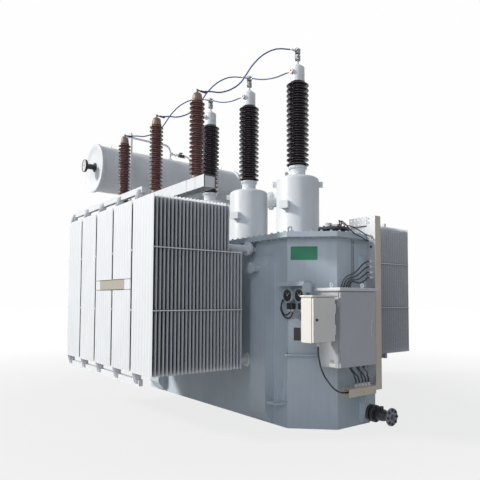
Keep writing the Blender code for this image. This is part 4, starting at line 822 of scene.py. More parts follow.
enamelled_bolt = sprayed_enamel("sprayed_bolt_enamel", "#c3cbd0", "#a7b0b6", 0.3, 0.45)
low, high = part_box("tank_cover")
cover_top = high.z
rim_underside = 2.17
bolt_line = octagon(high.x - 0.032, high.y - 0.032, 0.387)
bolt_pitch = 0.115
finish(bolts("cover_bolts", walk(bolt_line, bolt_pitch, cover_top), 0.026), enamelled_bolt)
rows = [place @ Matrix.Rotation(math.pi, 4, "X") for place in walk(bolt_line, bolt_pitch, rim_underside)]
finish(bolts("rim_nuts", rows, 0.024), enamelled_bolt)
eyes = []
for x in (-1.62, 1.62):
    for y in (-0.56, 0.56):
        eyes.append(turn_up(
            "eye_base", [(0.034, 0.0), (0.034, 0.01), (0.02, 0.018), (0.014, 0.03)], 20, (x, y), cover_top))
        eyes.append(hoop("eye_ring", (x, y, cover_top + 0.062), 0.032, 0.009, (math.pi / 2, 0.0, 0.0)))
finish(join("cover_lifting_eyes", eyes), tank_enamel)


# Conservator: a rolled and welded drum with a flanged lid bolted on each end, on two
# frames. On its crown are the vent pipe, the feed pipe with its valve, and two lifting
# hooks; an oil gauge hangs on the near lid.
def tube(name, points, radius, sides=16):
    """A bent pipe or cable through its points, with closed ends."""
    curve = bpy.data.curves.new(name, "CURVE")
    curve.dimensions = "3D"
    curve.bevel_depth = radius
    curve.bevel_resolution = max(1, sides // 4 - 1)
    curve.use_fill_caps = True
    curve.resolution_u = 8
    spline = curve.splines.new("BEZIER")
    spline.bezier_points.add(len(points) - 1)
    for knot, point in zip(spline.bezier_points, points):
        knot.co = point
        knot.handle_left_type = "AUTO"
        knot.handle_right_type = "AUTO"
    piece = bpy.data.objects.new(name, curve)
    scene.collection.objects.link(piece)
    take(piece)
    bpy.ops.object.convert(target="MESH")
    return settle(name)


def painted_iron(name, shade, worn):
    """Black paint on rough cast iron: dull, with a sandy skin that shows through."""
    material, tree, shader, place = surface(name, 0.0, 0.45, 1.5)
    cloud = add(tree, "ShaderNodeTexNoise", {"Scale": 18.0, "Detail": 5.0}, {"Vector": (place, "Object")})
    share = add(tree, "ShaderNodeMapRange", {"From Min": 0.42, "From Max": 0.72}, {"Value": (cloud, "Fac")})
    colour = add(tree, "ShaderNodeMix", {"data_type": "RGBA", 6: linear(shade), 7: linear(worn)}, {
        0: (share, 0)})
    tree.links.new(colour.outputs[2], shader.inputs["Base Color"])
    sheen = add(tree, "ShaderNodeMapRange", {"To Min": 0.36, "To Max": 0.6}, {"Value": (cloud, "Fac")})
    tree.links.new(sheen.outputs[0], shader.inputs["Roughness"])
    # sand grain, drawn at 4 mm so that it shows
    grain = add(tree, "ShaderNodeTexNoise", {"Scale": 250.0, "Detail": 2.0}, {"Vector": (place, "Object")})
    bump = add(tree, "ShaderNodeBump", {"Strength": 0.3, "Distance": 0.0012}, {"Height": (grain, "Fac")})
    tree.links.new(bump.outputs[0], shader.inputs["Normal"])
    return material


drum_enamel = sprayed_enamel("sprayed_drum_enamel", "#eef1f2", "#e3e7ea", 0.3, 0.38)
black_iron = painted_iron("black_painted_iron", "#232427", "#3b3c40")
dial_white = sprayed_enamel("printed_dial_white", "#e4e5e3", "#dcdddb", 0.0, 0.5)
drum_x, drum_z = -2.0, 3.60
crown = drum_z + 0.375
feed_level = crown + 0.12
low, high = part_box("conservator_drum")
length = high.y - low.y
rim = [(0.395, 0.0), (0.395, 0.026), (0.393, 0.028), (0.379, 0.03), (0.3765, 0.036), (0.375, 0.045)]
weld_bead = [(0.375, 0.0), (0.3765, 0.004), (0.3765, 0.012), (0.375, 0.016)]
outline = rim + [(radius, length * share + rise) for share in (0.33, 0.67) for radius, rise in weld_bead]
outline += [(radius, length - rise) for radius, rise in reversed(rim)]
parts = [turn_up("shell", outline, 96, stand=facing((drum_x, high.y, drum_z), (0, -1, 0)))]
vent_route = (
    (-1.14, -0.01), (-1.14, 0.10), (-1.14, 0.20), (-1.12, 0.247), (-1.07, 0.26), (-0.70, 0.26),
    (-0.36, 0.262), (-0.29, 0.25), (-0.243, 0.21), (-0.225, 0.15), (-0.225, 0.06), (-0.225, -0.01))
feed_route = (
    (-0.225, 0.12), (-0.10, 0.12), (0.05, 0.12), (0.12, 0.12), (0.165, 0.10), (0.185, 0.05), (0.185, -0.01))
for name, route, radius in (("vent", vent_route, 0.018), ("feed", feed_route, 0.016)):
    parts.append(tube(name, [(drum_x, y, crown + rise) for y, rise in route], radius))
for y in (-1.14, -0.225, 0.185):
    for level in (crown, crown + 0.014):
        parts.append(bar("pipe_flange", (drum_x, y, level), (drum_x, y, level + 0.012), 0.036, 24))
for y in (-0.19, -0.115, 0.075):
    parts.append(bar(
        "pipe_collar", (drum_x, y - 0.007, feed_level), (drum_x, y + 0.007, feed_level), 0.032, 24))
for y in (-1.34, 0.86):
    parts.append(block(
        "hook", (drum_x - 0.05, y - 0.006, crown - 0.02), (drum_x + 0.05, y + 0.006, crown + 0.06), 0.003))
replace(join("conservator_shell", parts), drum_enamel, "conservator_drum")
valve = [
    turn_up("body", [
        (0.034, -0.05), (0.034, -0.04), (0.024, -0.036), (0.030, -0.02), (0.033, 0.0), (0.030, 0.02),
        (0.024, 0.036), (0.034, 0.04), (0.034, 0.05)],
        28, stand=facing((drum_x, 0.0, feed_level), (0, -1, 0))),
    bar("stem", (drum_x, 0.0, feed_level + 0.01), (drum_x, 0.0, feed_level + 0.055), 0.008, 14),
    hoop("wheel", (drum_x, 0.0, feed_level + 0.052), 0.030, 0.005, sides=10)]
for half_x, half_y in ((0.03, 0.004), (0.004, 0.03)):
    valve.append(block(
        "spoke", (drum_x - half_x, -half_y, feed_level + 0.049),
        (drum_x + half_x, half_y, feed_level + 0.055)))
finish(join("conservator_feed_valve", valve), black_iron)

lid_outline = [
    (0.395, 0.0), (0.395, 0.0175), (0.3935, 0.0195), (0.335, 0.0195), (0.330, 0.0185), (0.322, 0.0135),
    (0.20, 0.0135)]
for name, side in banks:
    low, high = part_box(f"conservator_end_{name}")
    inner = high.y if side < 0 else low.y
    lid = turn_up("lid", lid_outline, 96, stand=facing((drum_x, inner, drum_z), (0, side, 0)))
    heads = bolts("heads", ring((drum_x, inner + side * 0.009, drum_z), (0, side, 0), 0.368, 32), 0.0166)
    whole = join(f"conservator_lid_{name}", [lid, heads])
    replace(whole, drum_enamel, f"conservator_end_{name}")
dress("conservator_frame_1", tank_enamel)
dress("conservator_frame_2", tank_enamel)


# Oil gauge: a black dial on a short flanged neck, with a white face in a painted bezel.
def dial_strip(name, centre, half_width, inner, outer, thick, turn):
    """A hand or mark on a dial that faces -Y, turned about the dial's middle."""
    strip = block(name, (-half_width, inner, 0.0), (half_width, outer, thick))
    strip.data.transform(facing(centre, (0, -1, 0)) @ Matrix.Rotation(math.radians(turn), 4, "Z"))
    return strip


low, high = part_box("oil_gauge")
gauge_x = (low.x + high.x) / 2
face_y = high.y - 0.170
gauge = turn_up("oil_gauge_case", [
    (0.075, 0.0), (0.075, 0.010), (0.045, 0.012), (0.043, 0.02), (0.043, 0.12), (0.052, 0.134),
    (0.082, 0.138), (0.097, 0.142), (0.1, 0.148), (0.1, 0.172), (0.098, 0.176), (0.093, 0.1775),
    (0.090, 0.174), (0.088, 0.168), (0.02, 0.168)], 48, stand=facing((gauge_x, high.y, drum_z), (0, -1, 0)))
replace(gauge, black_iron, "oil_gauge")
face = bar("oil_gauge_face", (gauge_x, face_y + 0.002, drum_z), (gauge_x, face_y, drum_z), 0.087, 48)
finish(face, dial_white)
hands = [
    block("hand", (gauge_x - 0.003, face_y - 0.0025, drum_z - 0.01),
          (gauge_x + 0.003, face_y - 0.001, drum_z + 0.06), 0.0005, 1),
    bar("hub", (gauge_x, face_y, drum_z), (gauge_x, face_y - 0.005, drum_z), 0.009, 20)]
for turn in range(-120, 121, 30):
    hands.append(dial_strip("mark", (gauge_x, face_y, drum_z), 0.002, 0.062, 0.078, 0.0008, turn))
finish(join("oil_gauge_hand", hands), black_iron)

# Breather: a pipe down the drum's side to a glass pot of drying beads.
pipe_x, pipe_y = -1.57, -1.16
pipe = tube("pipe", [
    (pipe_x, pipe_y, 2.70), (pipe_x, pipe_y, 3.2), (pipe_x, pipe_y, 3.8), (pipe_x, pipe_y, 4.10),
    (pipe_x - 0.004, pipe_y, 4.14), (pipe_x - 0.02, pipe_y, 4.163), (pipe_x - 0.058, pipe_y, 4.168)], 0.0175)
clip = block(
    "clip", (-1.6245, pipe_y - 0.02, drum_z - 0.015), (pipe_x + 0.02, pipe_y + 0.02, drum_z + 0.015), 0.003)
pot = turn_up("pot", [
    (0.045, 2.462), (0.055, 2.465), (0.058, 2.475), (0.058, 2.50), (0.052, 2.505), (0.052, 2.66),
    (0.058, 2.665), (0.058, 2.69), (0.05, 2.70), (0.024, 2.72), (0.020, 2.735)], 32, (pipe_x, pipe_y))
replace(join("breather_pipe", [pipe, clip, pot]), drum_enamel, "breather")


# Control cabinet: folded steel sheet, powder coated grey, with a rain lid that carries
# two eyes, and a door hung on pins with a swing handle in a recess.
def powder(name, shade, second):
    """Powder coat baked on steel sheet: even, satin, with a fine pebbled skin."""
    material, tree, shader, place = surface(name, 0.0, 0.48, 1.5)
    # very soft shading about 0.3 m across
    cloud = add(tree, "ShaderNodeTexNoise", {"Scale": 3.4, "Detail": 3.0}, {"Vector": (place, "Object")})
    colour = add(tree, "ShaderNodeMix", {"data_type": "RGBA", 6: linear(shade), 7: linear(second)}, {
        0: (cloud, "Fac")})
    tree.links.new(colour.outputs[2], shader.inputs["Base Color"])
    sheen = add(tree, "ShaderNodeMapRange", {"To Min": 0.40, "To Max": 0.56}, {"Value": (cloud, "Fac")})
    tree.links.new(sheen.outputs[0], shader.inputs["Roughness"])
    # the pebbles are 0.5 mm across, drawn at 3 mm so that they show
    pebble = add(tree, "ShaderNodeTexVoronoi", {"Scale": 330.0}, {"Vector": (place, "Object")})
    bump = add(tree, "ShaderNodeBump", {"Strength": 0.12, "Distance": 0.0006}, {
        "Height": (pebble, "Distance")})
    tree.links.new(bump.outputs[0], shader.inputs["Normal"])
    return material


grey_powder = powder("grey_powder_coat", "#bfc2c5", "#b4b7bb")
pale_powder = powder("pale_grey_powder_coat", "#dddfe0", "#d2d4d6")
cream_powder = powder("cream_powder_coat", "#efede7", "#e8e5dd")
blank_white = powder("blank_white_label", "#e6e6e2", "#dcdcd8")
dress("control_cabinet", grey_powder)
dress("control_cabinet_door", grey_powder)
low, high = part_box("control_cabinet_lid")
lid = block("control_cabinet_rain_lid", low, high, 0.004)
replace(lid, pale_powder, "control_cabinet_lid")
lid_top = high.z
eyes = []
for y in (-0.60, -0.10):
    eyes.append(turn_up("eye_base", [(0.020, 0.0), (0.020, 0.004), (0.009, 0.009)], 20, (2.325, y), lid_top))
    eyes.append(hoop("eye_ring", (2.325, y, lid_top + 0.0315), 0.0205, 0.006, (0.0, math.pi / 2, 0.0)))
finish(join("cabinet_lifting_eyes", eyes), white_enamel)
door_x = 2.48
handle_y = -0.1225
handle = [
    block("recess", (door_x - 0.001, handle_y - 0.018, 1.065),
          (door_x + 0.003, handle_y + 0.018, 1.235), 0.0015),
    block("lever", (door_x + 0.003, handle_y - 0.009, 1.10),
          (door_x + 0.0135, handle_y + 0.009, 1.225), 0.004, 3),
    bar("barrel", (door_x + 0.002, handle_y, 1.085), (door_x + 0.010, handle_y, 1.085), 0.011, 24, 0.001)]
finish(join("control_cabinet_handle", handle), pale_powder, "control_door")
side_y = -0.64
boss = turn_up("earth_boss", [(0.020, 0.0), (0.020, 0.006), (0.012, 0.008), (0.012, 0.016), (0.010, 0.018)],
               24, stand=facing((2.364, side_y, 0.822), (0, -1, 0)))
finish(boss, plated_steel)
label = block("blank_label", (2.327, side_y - 0.0012, 0.757), (2.406, side_y, 0.790))
finish(label, blank_white)
tray = block("gland_plate", (2.19, -0.60, 0.744), (2.44, -0.10, 0.751), 0.002, 1)
finish(tray, grey_powder)

# Small cabinet: the same build in cream, with a flat rain roof and a lock in its door.
dress("small_cabinet", cream_powder)
dress("small_cabinet_door", cream_powder)
roof = block("roof", (2.300, -1.044, 1.4855), (2.488, -0.694, 1.5015), 0.003)
lip = flat_bar("lip", (2.306, -0.6975, 1.452), (2.45, -0.6945, 1.49))
finish(join("small_cabinet_roof", [roof, lip]), cream_powder)
lock = turn_up("lock", [(0.014, 0.0), (0.014, 0.004), (0.012, 0.006), (0.012, 0.0125), (0.009, 0.0135)], 28,
               stand=facing((door_x, -0.98, 1.2575), (1, 0, 0)))
finish(lock, black_iron, "small_door")


# Cable riser: galvanised channel bolted to the stiffener, perforated only at its top
# and in the tray, with a beige cover strip and white nylon glands in its side.
def perforated(name, low, high, columns, rows, margin):
    """A thin upright sheet that faces along Y, with rows of slots punched through it."""
    low, high = Vector(low), Vector(high)
    alone()
    bpy.ops.mesh.primitive_grid_add(
        x_subdivisions=columns, y_subdivisions=rows, size=1.0, rotation=(math.pi / 2, 0.0, 0.0),
        location=(low + high) / 2)
    bpy.context.active_object.scale = (high.x - low.x, high.z - low.z, 1.0)
    piece = settle(name)
    with edit_mode():
        bpy.ops.mesh.select_all(action="SELECT")
        bpy.ops.mesh.inset(thickness=margin, use_individual=True)
        bpy.ops.mesh.delete(type="FACE")
    thick = piece.modifiers.new("sheet", "SOLIDIFY")
    thick.thickness = 0.004
    thick.offset = 0.0
    apply_all(piece)
    return piece


def dome_glands(name, places, size=1.0):
    """Nylon cable glands: a hexagon, a domed nut and a rubber seal."""
    alone()
    bpy.ops.mesh.primitive_cylinder_add(
        vertices=6, radius=0.019 * size, depth=0.010 * size, location=(0, 0, 0.005 * size))
    base = settle("hexagon")
    outline = ((0.0165, 0.010), (0.0165, 0.024), (0.015, 0.030), (0.0115, 0.0345), (0.009, 0.035))
    nut = turn_up("nut", [(radius * size, height * size) for radius, height in outline], 18)
    return repeat(join(name, [base, nut]), places)


def zinc_dipped(name, bright, dull):
    """Hot-dip galvanised sheet: crystals of zinc, each a little lighter or darker."""
    material, tree, shader, place = surface(name, 1.0, 0.45)
    # crystals about 12 mm across
    crystal = add(tree, "ShaderNodeTexVoronoi", {"Scale": 80.0}, {"Vector": (place, "Object")})
    colour = add(tree, "ShaderNodeMix", {"data_type": "RGBA", 6: linear(bright), 7: linear(dull)}, {
        0: (crystal, "Color")})
    tree.links.new(colour.outputs[2], shader.inputs["Base Color"])
    rough = add(tree, "ShaderNodeMapRange", {"To Min": 0.36, "To Max": 0.6}, {"Value": (crystal, "Color")})
    tree.links.new(rough.outputs[0], shader.inputs["Roughness"])
    return material


galvanised = zinc_dipped("hot_dip_galvanised_steel", "#c6c9cc", "#b9bcc0")
beige_enamel = sprayed_enamel("sprayed_beige_enamel", "#dfd3bf", "#d0c3ad", 0.3, 0.45)
white_nylon = powder("moulded_white_nylon", "#e3e3df", "#d6d6d2")
riser_low, riser_high = 2.2073, 2.3273
riser_middle = (riser_low + riser_high) / 2
riser_y, riser_back = 0.13, 0.23
riser_foot, riser_top = 0.43, 2.44
tray_foot = 2.335
tray_low, tray_high = 1.9373, 2.2133
slot_y = riser_y + 0.003
slot_margin = 0.019
parts = [
    flat_bar("web", (riser_low, riser_y + 0.001, riser_foot), (riser_high, riser_y + 0.005, tray_foot)),
    perforated("web_top", (riser_low, slot_y, tray_foot), (riser_high, slot_y, riser_top), 2, 2, slot_margin),
    perforated("tray_web", (tray_low, slot_y, tray_foot), (tray_high, slot_y, riser_top), 5, 2, slot_margin),
    flat_bar("tray_floor", (tray_low, riser_y, tray_foot), (tray_high, riser_back, tray_foot + 0.006))]
for x in (riser_low, riser_high - 0.004):
    parts.append(flat_bar("flange", (x, riser_y + 0.002, riser_foot), (x + 0.004, riser_back, riser_top)))
for height in (0.60, 1.60):
    parts.append(block(
        "foot", (2.1955, riser_y + 0.006, height), (riser_low + 0.003, 0.222, height + 0.06), 0.002, 1))
replace(join("cable_riser_channel", parts), galvanised, "cable_riser")
strip = flat_bar("riser_cover_strip", (riser_high - 0.0005, riser_y + 0.001, riser_foot + 0.001),
                 (riser_high + 0.0025, riser_back - 0.001, riser_top - 0.002))
finish(strip, beige_enamel)
upper_glands = (2.207, 2.144)
lower_glands = (1.903, 1.840, 1.777, 1.714)
rows = [facing((riser_middle, riser_y, level), (0, -1, 0)) for level in upper_glands + lower_glands]
finish(dome_glands("riser_glands", rows), white_nylon)
hole = bar(
    "blank_hole", (riser_middle, riser_y + 0.0005, 2.077), (riser_middle, riser_y - 0.003, 2.077), 0.0155, 24)
finish(hole, black_iron)

# Gland rack: a beige channel on its side under the cabinet, five glands along its top.
low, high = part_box("gland_rack")
rack_top = 0.485
rack_sheet = 0.006
parts = [
    block("web", (low.x, low.y, rack_top - rack_sheet), (high.x, high.y, rack_top), 0.002, 1),
    block("front", (high.x - rack_sheet, low.y, low.z), (high.x, high.y, rack_top - 0.001), 0.002, 1),
    block("back", (low.x, low.y, low.z), (low.x + rack_sheet, high.y, rack_top - 0.001), 0.002, 1)]
replace(join("gland_rack_channel", parts), beige_enamel, "gland_rack")
rack_places = [high.y - 0.06 - 0.055 * number for number in range(5)]
rows = [Matrix.Translation((riser_middle, y, rack_top)) for y in rack_places]
finish(dome_glands("rack_glands", rows), white_nylon)
bolt_on("rack_bolts", [facing((high.x, y, 0.42), (1, 0, 0)) for y in (low.y + 0.05, low.y + 0.25)], 0.014)


# Drain valve: a black cast body between two flanges, closed by a grey blank with its
# nuts left black.
low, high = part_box("drain_valve")
valve_y, valve_z = 0.19, 0.145
reach = high.x - low.x
stem_x = low.x + 0.16
parts = [
    turn_up("body", [
        (0.098, 0.0), (0.098, 0.026), (0.095, 0.029), (0.056, 0.030), (0.056, 0.052), (0.095, 0.054),
        (0.098, 0.057), (0.098, 0.082), (0.095, 0.085), (0.062, 0.088), (0.066, 0.12), (0.070, 0.16),
        (0.064, 0.20), (0.052, 0.225), (0.052, reach - 0.064), (0.07, reach - 0.060), (0.07, reach - 0.034)],
        40, stand=facing((low.x, valve_y, valve_z), (1, 0, 0))),
    bar("spindle", (stem_x, valve_y, valve_z + 0.06), (stem_x, valve_y, valve_z + 0.098), 0.02, 20, 0.003),
    bar("boss", (high.x - 0.018, valve_y, valve_z), (high.x - 0.010, valve_y, valve_z), 0.034, 32, 0.002)]
for x, way, across in ((low.x + 0.085, 1, 0.022), (high.x - 0.0173, 1, 0.022), (high.x - 0.034, -1, 0.020)):
    parts.append(bolts("heads", ring((x, valve_y, valve_z), (way, 0, 0), 0.078, 8), across))
replace(join("drain_valve_body", parts), black_iron, "drain_valve")
blank = turn_up("drain_valve_blank", [
    (0.099, 0.0), (0.1, 0.002), (0.1, 0.0147), (0.097, 0.0167), (0.05, 0.0167), (0.045, 0.020),
    (0.02, 0.021)], 48, stand=facing((high.x - 0.034, valve_y, valve_z), (1, 0, 0)))
grey_enamel = sprayed_enamel("sprayed_mid_grey_enamel", "#868e95", "#767e86", 0.3, 0.45)
finish(blank, grey_enamel)


# Dial hood: bent sheet on two arms from the cut corner, over two dial thermometers with
# black faces in pale rims. Their sensing tubes are black sheathed.
sheet = 0.006
hood_left, hood_right = 1.655, 2.112
hood_back, hood_front = -0.6805, -0.79
hood_middle = 1.79
hood_top = 1.654
cheek_foot = 1.535
visor_reach, visor_drop = 0.03, 0.041
dial_level = 1.506
dial_places = (1.827, 2.0145)
dial_radius = 0.078
plate_front = hood_back - sheet
parts = [
    flat_bar("back", (hood_middle, plate_front, 1.44), (hood_right, hood_back, hood_top)),
    flat_bar("tongue", (hood_middle, plate_front, 1.335), (1.93, hood_back, 1.442)),
    block("roof", (hood_left, hood_front, hood_top - sheet), (hood_right, hood_back, hood_top))]
with edit_mode():
    pick(lambda corner: corner.y < hood_front + 0.001)
    extrude(y=-visor_reach, z=-visor_drop)
parts.append(block(
    "cheek", (hood_right - sheet, hood_front, cheek_foot), (hood_right, hood_back, hood_top - 0.001)))
with edit_mode():
    pick(lambda corner: corner.y < hood_front + 0.001)
    extrude(y=-visor_reach, z=0.012)
    pick(lambda corner: corner.y < hood_front - 0.001 and corner.z > 1.6)
    move(z=-visor_drop - 0.012)
# two flat arms carry the sheet on the cut corner, whose plane is y = x - 2.39
for x in (1.80, 1.93):
    parts.append(flat_bar("arm", (x, hood_back - 0.002, 1.60), (x + sheet, x - 2.388, 1.64)))
case_outline = [
    (0.030, 0.0), (0.030, 0.05), (dial_radius - 0.008, 0.052), (dial_radius - 0.002, 0.056),
    (dial_radius, 0.062), (dial_radius, 0.098), (dial_radius - 0.002, 0.103), (dial_radius - 0.007, 0.104),
    (dial_radius - 0.010, 0.099), (0.01, 0.099)]
face_y = plate_front - 0.1005
faces = []
hands = []
for x in dial_places:
    centre = (x, face_y, dial_level)
    parts.append(turn_up("case", case_outline, 48, stand=facing((x, plate_front, dial_level), (0, -1, 0))))
    faces.append(bar("face", (x, face_y + 0.002, dial_level), centre, dial_radius - 0.0095, 48))
    hands += [dial_strip("hand", centre, 0.0013, -0.010, 0.044, 0.0012, turn) for turn in (-50, 30)]
    hands.append(bar("hub", centre, (x, face_y - 0.004, dial_level), 0.006, 16))
    hands += [dial_strip("mark", centre, 0.0010, 0.052, 0.060, 0.0006, turn) for turn in range(-125, 126, 25)]
replace(join("dial_hood_sheet", parts), tank_enamel, "dial_hood")
finish(join("dial_faces", faces), black_iron)
finish(join("dial_hands", hands), dial_white)
boxes = []
box_y = plate_front - 0.012
cable_y = box_y - 0.033
rows = []
for x in dial_places:
    boxes.append(block(
        "terminal_box", (x - 0.046, box_y - 0.065, 1.350), (x + 0.046, box_y, 1.418), 0.012, 3))
    boxes.append(flat_bar("box_back", (x - 0.020, box_y - 0.02, 1.37), (x + 0.020, hood_back - 0.003, 1.40)))
    rows += [facing((x + shift, cable_y, 1.351), (0, 0, -1)) for shift in (-0.022, 0.026)]
finish(join("dial_terminal_boxes", boxes), black_iron)
finish(dome_glands("dial_glands", rows, 0.8), white_nylon)
first, second = dial_places
loop_routes = (
    ((first - 0.022, cable_y, 1.325), (first - 0.026, cable_y, 1.312), (1.775, cable_y, 1.292),
     (1.735, cable_y - 0.004, 1.284), (1.700, cable_y - 0.006, 1.304), (1.674, cable_y - 0.006, 1.350),
     (1.668, cable_y - 0.004, 1.395), (1.676, cable_y, 1.436), (1.703, cable_y + 0.004, 1.472),
     (1.745, -0.712, 1.497), (1.80, -0.705, 1.506)),
    ((first + 0.026, cable_y, 1.325), (first + 0.025, cable_y, 1.300), (1.828, cable_y - 0.004, 1.262),
     (1.784, cable_y - 0.010, 1.247), (1.735, cable_y - 0.014, 1.264), (1.697, cable_y - 0.017, 1.305),
     (1.677, cable_y - 0.019, 1.355), (1.680, cable_y - 0.010, 1.410), (1.702, cable_y + 0.004, 1.447),
     (1.745, -0.715, 1.478), (1.80, -0.705, 1.490)),
    ((second - 0.022, cable_y, 1.325), (second - 0.022, cable_y, 1.27),
     (second - 0.010, cable_y + 0.02, 1.20), (second + 0.03, -0.60, 1.16), (2.075, -0.40, 1.15),
     (2.104, -0.288, 1.15)))
loops = [tube("loop", route, 0.0082, 12) for route in loop_routes]
finish(join("dial_cables", loops), black_sheath)
grey_sheath = rubber("grey_cable_sheath", "#6d7073", "#84878a")
thin_radius = 0.0035
thin_runs = [tube("thin_run", [
    (second + 0.026, cable_y, 1.325), (second + 0.024, cable_y, 1.30), (second, cable_y + 0.01, 1.262),
    (1.95, cable_y + 0.02, 1.242), (1.90, cable_y + 0.04, 1.262), (1.872, -0.62, 1.30), (1.862, -0.53, 1.33)],
    thin_radius, 10)]

# Instrument box: a shallow sprayed case with a small dark window, on a drip ledge. It is
# fixed to the cut corner, and made in the corner's own frame: along, outwards and up.
slant = math.sqrt(0.5)
corner_frame = Matrix(((slant, slant, 0, 1.71), (slant, -slant, 0, -0.68), (0, 0, 1, 0), (0, 0, 0, 1)))


def on_corner(piece):
    """Moves a piece from the cut corner's own frame to its place."""
    piece.data.transform(corner_frame)
    piece.data.flip_normals()
    return piece


case = [
    block("case", (0.011, 0.0004, 0.846), (0.371, 0.06, 1.246), 0.004),
    block("ledge", (-0.024, 0.0004, 0.826), (0.406, 0.094, 0.8455), 0.003)]
for left, foot, right, top in (
        (0.069, 0.989, 0.161, 0.996), (0.069, 1.142, 0.161, 1.149),
        (0.069, 0.989, 0.076, 1.149), (0.154, 0.989, 0.161, 1.149)):
    case.append(flat_bar("window_edge", (left, 0.058, foot), (right, 0.0635, top)))
replace(on_corner(join("instrument_box_case", case)), tank_enamel, "instrument_box")
dark_glass, _, glass_shader, _ = surface("dark_window_glass", 0.0, 0.08, 1.5)
glass_shader.inputs["Base Color"].default_value = linear("#2b2926")
pane = block("instrument_box_window", (0.075, 0.0585, 0.995), (0.155, 0.0608, 1.143))
finish(on_corner(pane), dark_glass)
screws = [facing((along, 0.094, 0.836), (0, 1, 0)) for along in (-0.010, 0.392)]
finish(on_corner(bolts("ledge_bolts", screws, 0.013)), plated_steel)

# Sign plates: a green enamelled plate on the cut corner and a bare metal one between two
# thin rails on the radiators. Both stay blank.
green_enamel = sprayed_enamel("fired_green_enamel", "#14805a", "#10714e", 0.1, 0.45)
plain_aluminium = plated("brushed_aluminium_sheet", "#b9b4aa", "#a39d92", 0.45)
plate = flat_bar("green_sign_plate", (0.038, 0.0005, 1.915), (0.345, 0.0035, 2.070))
finish(on_corner(plate), green_enamel)
plate_face = -2.1949
plate = flat_bar("bare_sign_plate", (-0.092, plate_face, 1.563), (0.634, plate_face + 0.0034, 1.688))
finish(plate, plain_aluminium)


# Cover hatch: a black blanking plate with bolts round it, a white relief valve, and the
# small junction box that the riser's upper cables start from.
low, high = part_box("cover_hatch")
hatch = hatch_x, hatch_y = (1.87, -0.075)
hatch_top = low.z + 0.09
plate = turn_up("plate", [
    (0.19, 0.0), (0.19, 0.022), (0.188, 0.024), (0.150, 0.026), (0.148, 0.055), (0.186, 0.057),
    (0.189, 0.060), (0.189, 0.087), (0.186, 0.090)], 56, hatch, low.z)
heads = bolts("heads", ring((hatch_x, hatch_y, hatch_top), (0, 0, 1), 0.168, 12), 0.020)
replace(join("cover_hatch_plate", [plate, heads]), black_iron, "cover_hatch")
relief = turn_up("relief_valve", [
    (0.044, 0.0), (0.044, 0.008), (0.036, 0.012), (0.036, 0.036), (0.041, 0.040), (0.041, 0.048),
    (0.034, 0.0545)], 36, (hatch_x, hatch_y - 0.09), hatch_top)
finish(relief, white_enamel)
case = block("junction_box", (1.83, -0.075, hatch_top), (1.93, 0.005, hatch_top + 0.05), 0.004)
finish(case, pale_powder)


# Cables held by their glands: black sheathed, about 16 mm across. The ones that lead
# away from the transformer aren't part of it.
runs = []
for number, level in enumerate(lower_glands):
    landing = -0.245 + 0.042 * number
    runs.append(tube("run", [
        (riser_middle, riser_y - 0.030, level), (riser_middle, riser_y - 0.065, level - 0.002),
        (riser_middle - 0.004, riser_y - 0.13, level - 0.030 - 0.004 * number),
        (riser_middle - 0.035, (riser_y + landing) / 2 - 0.05, level - 0.13 + 0.022 * number),
        (2.165, landing + 0.03, 1.70 - 0.012 * number), (2.141, landing, 1.60), (2.1395, landing, 1.472)],
        0.008, 12))
for number, level in enumerate(upper_glands):
    shift = 0.03 * number
    runs.append(tube("run", [
        (riser_middle, riser_y - 0.030, level), (riser_middle, riser_y - 0.07, level + 0.002),
        (riser_middle - 0.01, riser_y - 0.16, level + 0.035),
        (riser_middle - 0.05, riser_y - 0.25, level + 0.085),
        (2.13, -0.165 - 0.01 * number, 2.325 + 0.02 * number), (2.00, -0.12 + shift, 2.395 - 0.01 * number),
        (1.945, -0.05 + shift, 2.37), (1.93, -0.035 + shift, 2.355)], 0.007, 12))
cabinet_places = [(x, -0.13 - 0.052 * number) for number, x in enumerate((2.36, 2.33, 2.36, 2.32, 2.35))]
for y, (x, start) in zip(rack_places, cabinet_places):
    runs.append(tube("run", [
        (x, start, 0.75), (x, start, 0.712), (x - 0.006, start * 0.7 + y * 0.3, 0.655),
        (riser_middle + 0.012, start * 0.2 + y * 0.8 + 0.004, 0.592), (riser_middle, y, 0.548),
        (riser_middle, y, 0.515)], 0.008, 12))
runs.append(tube("run", [
    (2.39, -0.87, 0.995), (2.389, -0.868, 0.94), (2.376, -0.84, 0.84), (2.352, -0.76, 0.70),
    (2.322, -0.64, 0.585), (2.294, -0.52, 0.500), (2.276, -0.42, 0.456), (2.268, -0.34, 0.441),
    (2.266, -0.25, 0.437)], 0.009, 12))
finish(join("held_cables", runs), black_sheath)
for number in range(2):
    y = -0.005 - 0.028 * number
    thin_runs.append(tube("thin_run", [
        (2.118, y, 2.168), (2.1185, y, 1.95), (2.1195, y - 0.012, 1.75),
        (2.121, y - 0.06 - 0.01 * number, 1.60),
        (2.122, y - 0.075, 1.472)], thin_radius, 10))
finish(join("thin_cables", thin_runs), grey_sheath)
clips = []
for height in (2.10, 1.86):
    clips.append(block("clip", (2.1104, -0.042, height), (2.1245, 0.003, height + 0.014), 0.002, 1))
finish(join("cable_clips", clips), plated_steel)
rows = [facing((2.39, -0.87, 1.03), (0, 0, -1))]
finish(dome_glands("small_cabinet_gland", rows, 1.3), white_nylon)
rows = [facing((x, y, 0.744), (0, 0, -1)) for x, y in cabinet_places]
finish(dome_glands("cabinet_glands", rows), black_sheath)

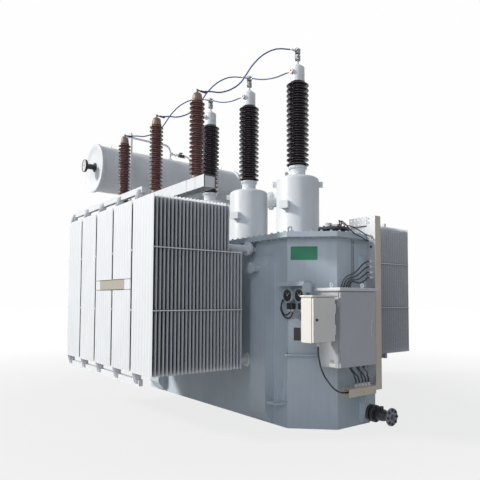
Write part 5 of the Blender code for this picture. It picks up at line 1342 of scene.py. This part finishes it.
# Line leads: stranded copper in a blue sheath, in crimped lugs at both ends.
blue_sheath = rubber("blue_cable_sheath", "#3d4c93", "#5463a6")
for number in range(1, 6):
    dress(f"line_lead_{number}", blue_sheath)
low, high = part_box("hv_head_a")
clamp_level = high.z - 0.045
cross_level = high.z - 0.06
plate_level = low.z + 0.135
plate_y = phase_y - 0.1105
lugs = []
for x in phase_places.values():
    lugs.append(bar(
        "lug", (x, phase_y - 0.036, clamp_level), (x, phase_y - 0.125, clamp_level), lug_radius, 20, 0.002))
for x in (phase_places["b"], phase_places["c"]):
    lugs.append(bar(
        "lug", (x + 0.023, phase_y, cross_level), (x + 0.075, phase_y - 0.001, cross_level - 0.004),
        lug_radius, 20, 0.002))
for x in (phase_places["a"], phase_places["b"]):
    lugs.append(bar(
        "lug", (x - 0.034, plate_y, plate_level), (x - 0.09, plate_y, plate_level), 0.0118, 20, 0.002))
finish(join("lead_lugs", lugs), plated_steel)


# Radiator rails: flat bars on short welded posts, with a gusset under each post, and a
# lifting eye and two plugs on every unit.
for bank, face in banks:
    for level in ("top", "bottom"):
        dress(f"radiator_rail_{bank}_{level}", radiator_enamel)
post_shift = 0.19
post_half = 0.03
gusset_height = 0.115
gusset_sheet = 0.008
extras = []
for bank, face in banks:
    gusset_sides = sorted((face * (bank_face - 0.052), face * (bank_face - 0.004)))
    spacer_sides = sorted((face * (bank_face - 0.001), face * (bank_face - 0.011)))
    eye_y = face * (bank_face - 0.55)
    plug_y = face * (bank_face - 0.3)
    for number, middle in enumerate(unit_middles):
        extras.append(block(
            "eye", (middle - 0.03, eye_y - 0.005, tall_top),
            (middle + 0.03, eye_y + 0.005, tall_top + 0.055), 0.004))
        for height, way in ((tall_top - 0.0005, 1), (panel_foot + 0.0005, -1)):
            extras.append(bar(
                "plug", (middle + 0.12, plug_y, height), (middle + 0.12, plug_y, height + way * 0.02),
                0.014, 6))
        # gussets in front of the rail's posts, above and below the panels
        for foot, tip in ((tall_top, tall_top + gusset_height), (panel_foot, panel_foot - gusset_height)):
            for x in (middle - post_shift - post_half, middle - post_shift + post_half - gusset_sheet):
                extras.append(block(
                    "gusset", (x, gusset_sides[0], min(foot, tip)),
                    (x + gusset_sheet, gusset_sides[1], max(foot, tip))))
                with edit_mode():
                    pick(lambda corner: abs(corner.y) > bank_face - 0.01 and abs(corner.z - tip) < 0.001)
                    move(y=-face * 0.030)
        if number:
            near, far = middle + unit_width / 2, middle - unit_width / 2 + unit_pitch
            for height in tie_levels:
                extras.append(flat_bar(
                    "spacer", (near - 0.004, spacer_sides[0], height - 0.008),
                    (far + 0.004, spacer_sides[1], height + 0.008)))
finish(join("radiator_fittings", extras), radiator_enamel)
rails = []
for height in (1.5665, 1.6850):
    rails.append(flat_bar(
        "rail", (-0.264, plate_face, height - 0.005), (0.794, plate_face + 0.0079, height + 0.005)))
finish(join("sign_plate_rails", rails), plain_aluminium)
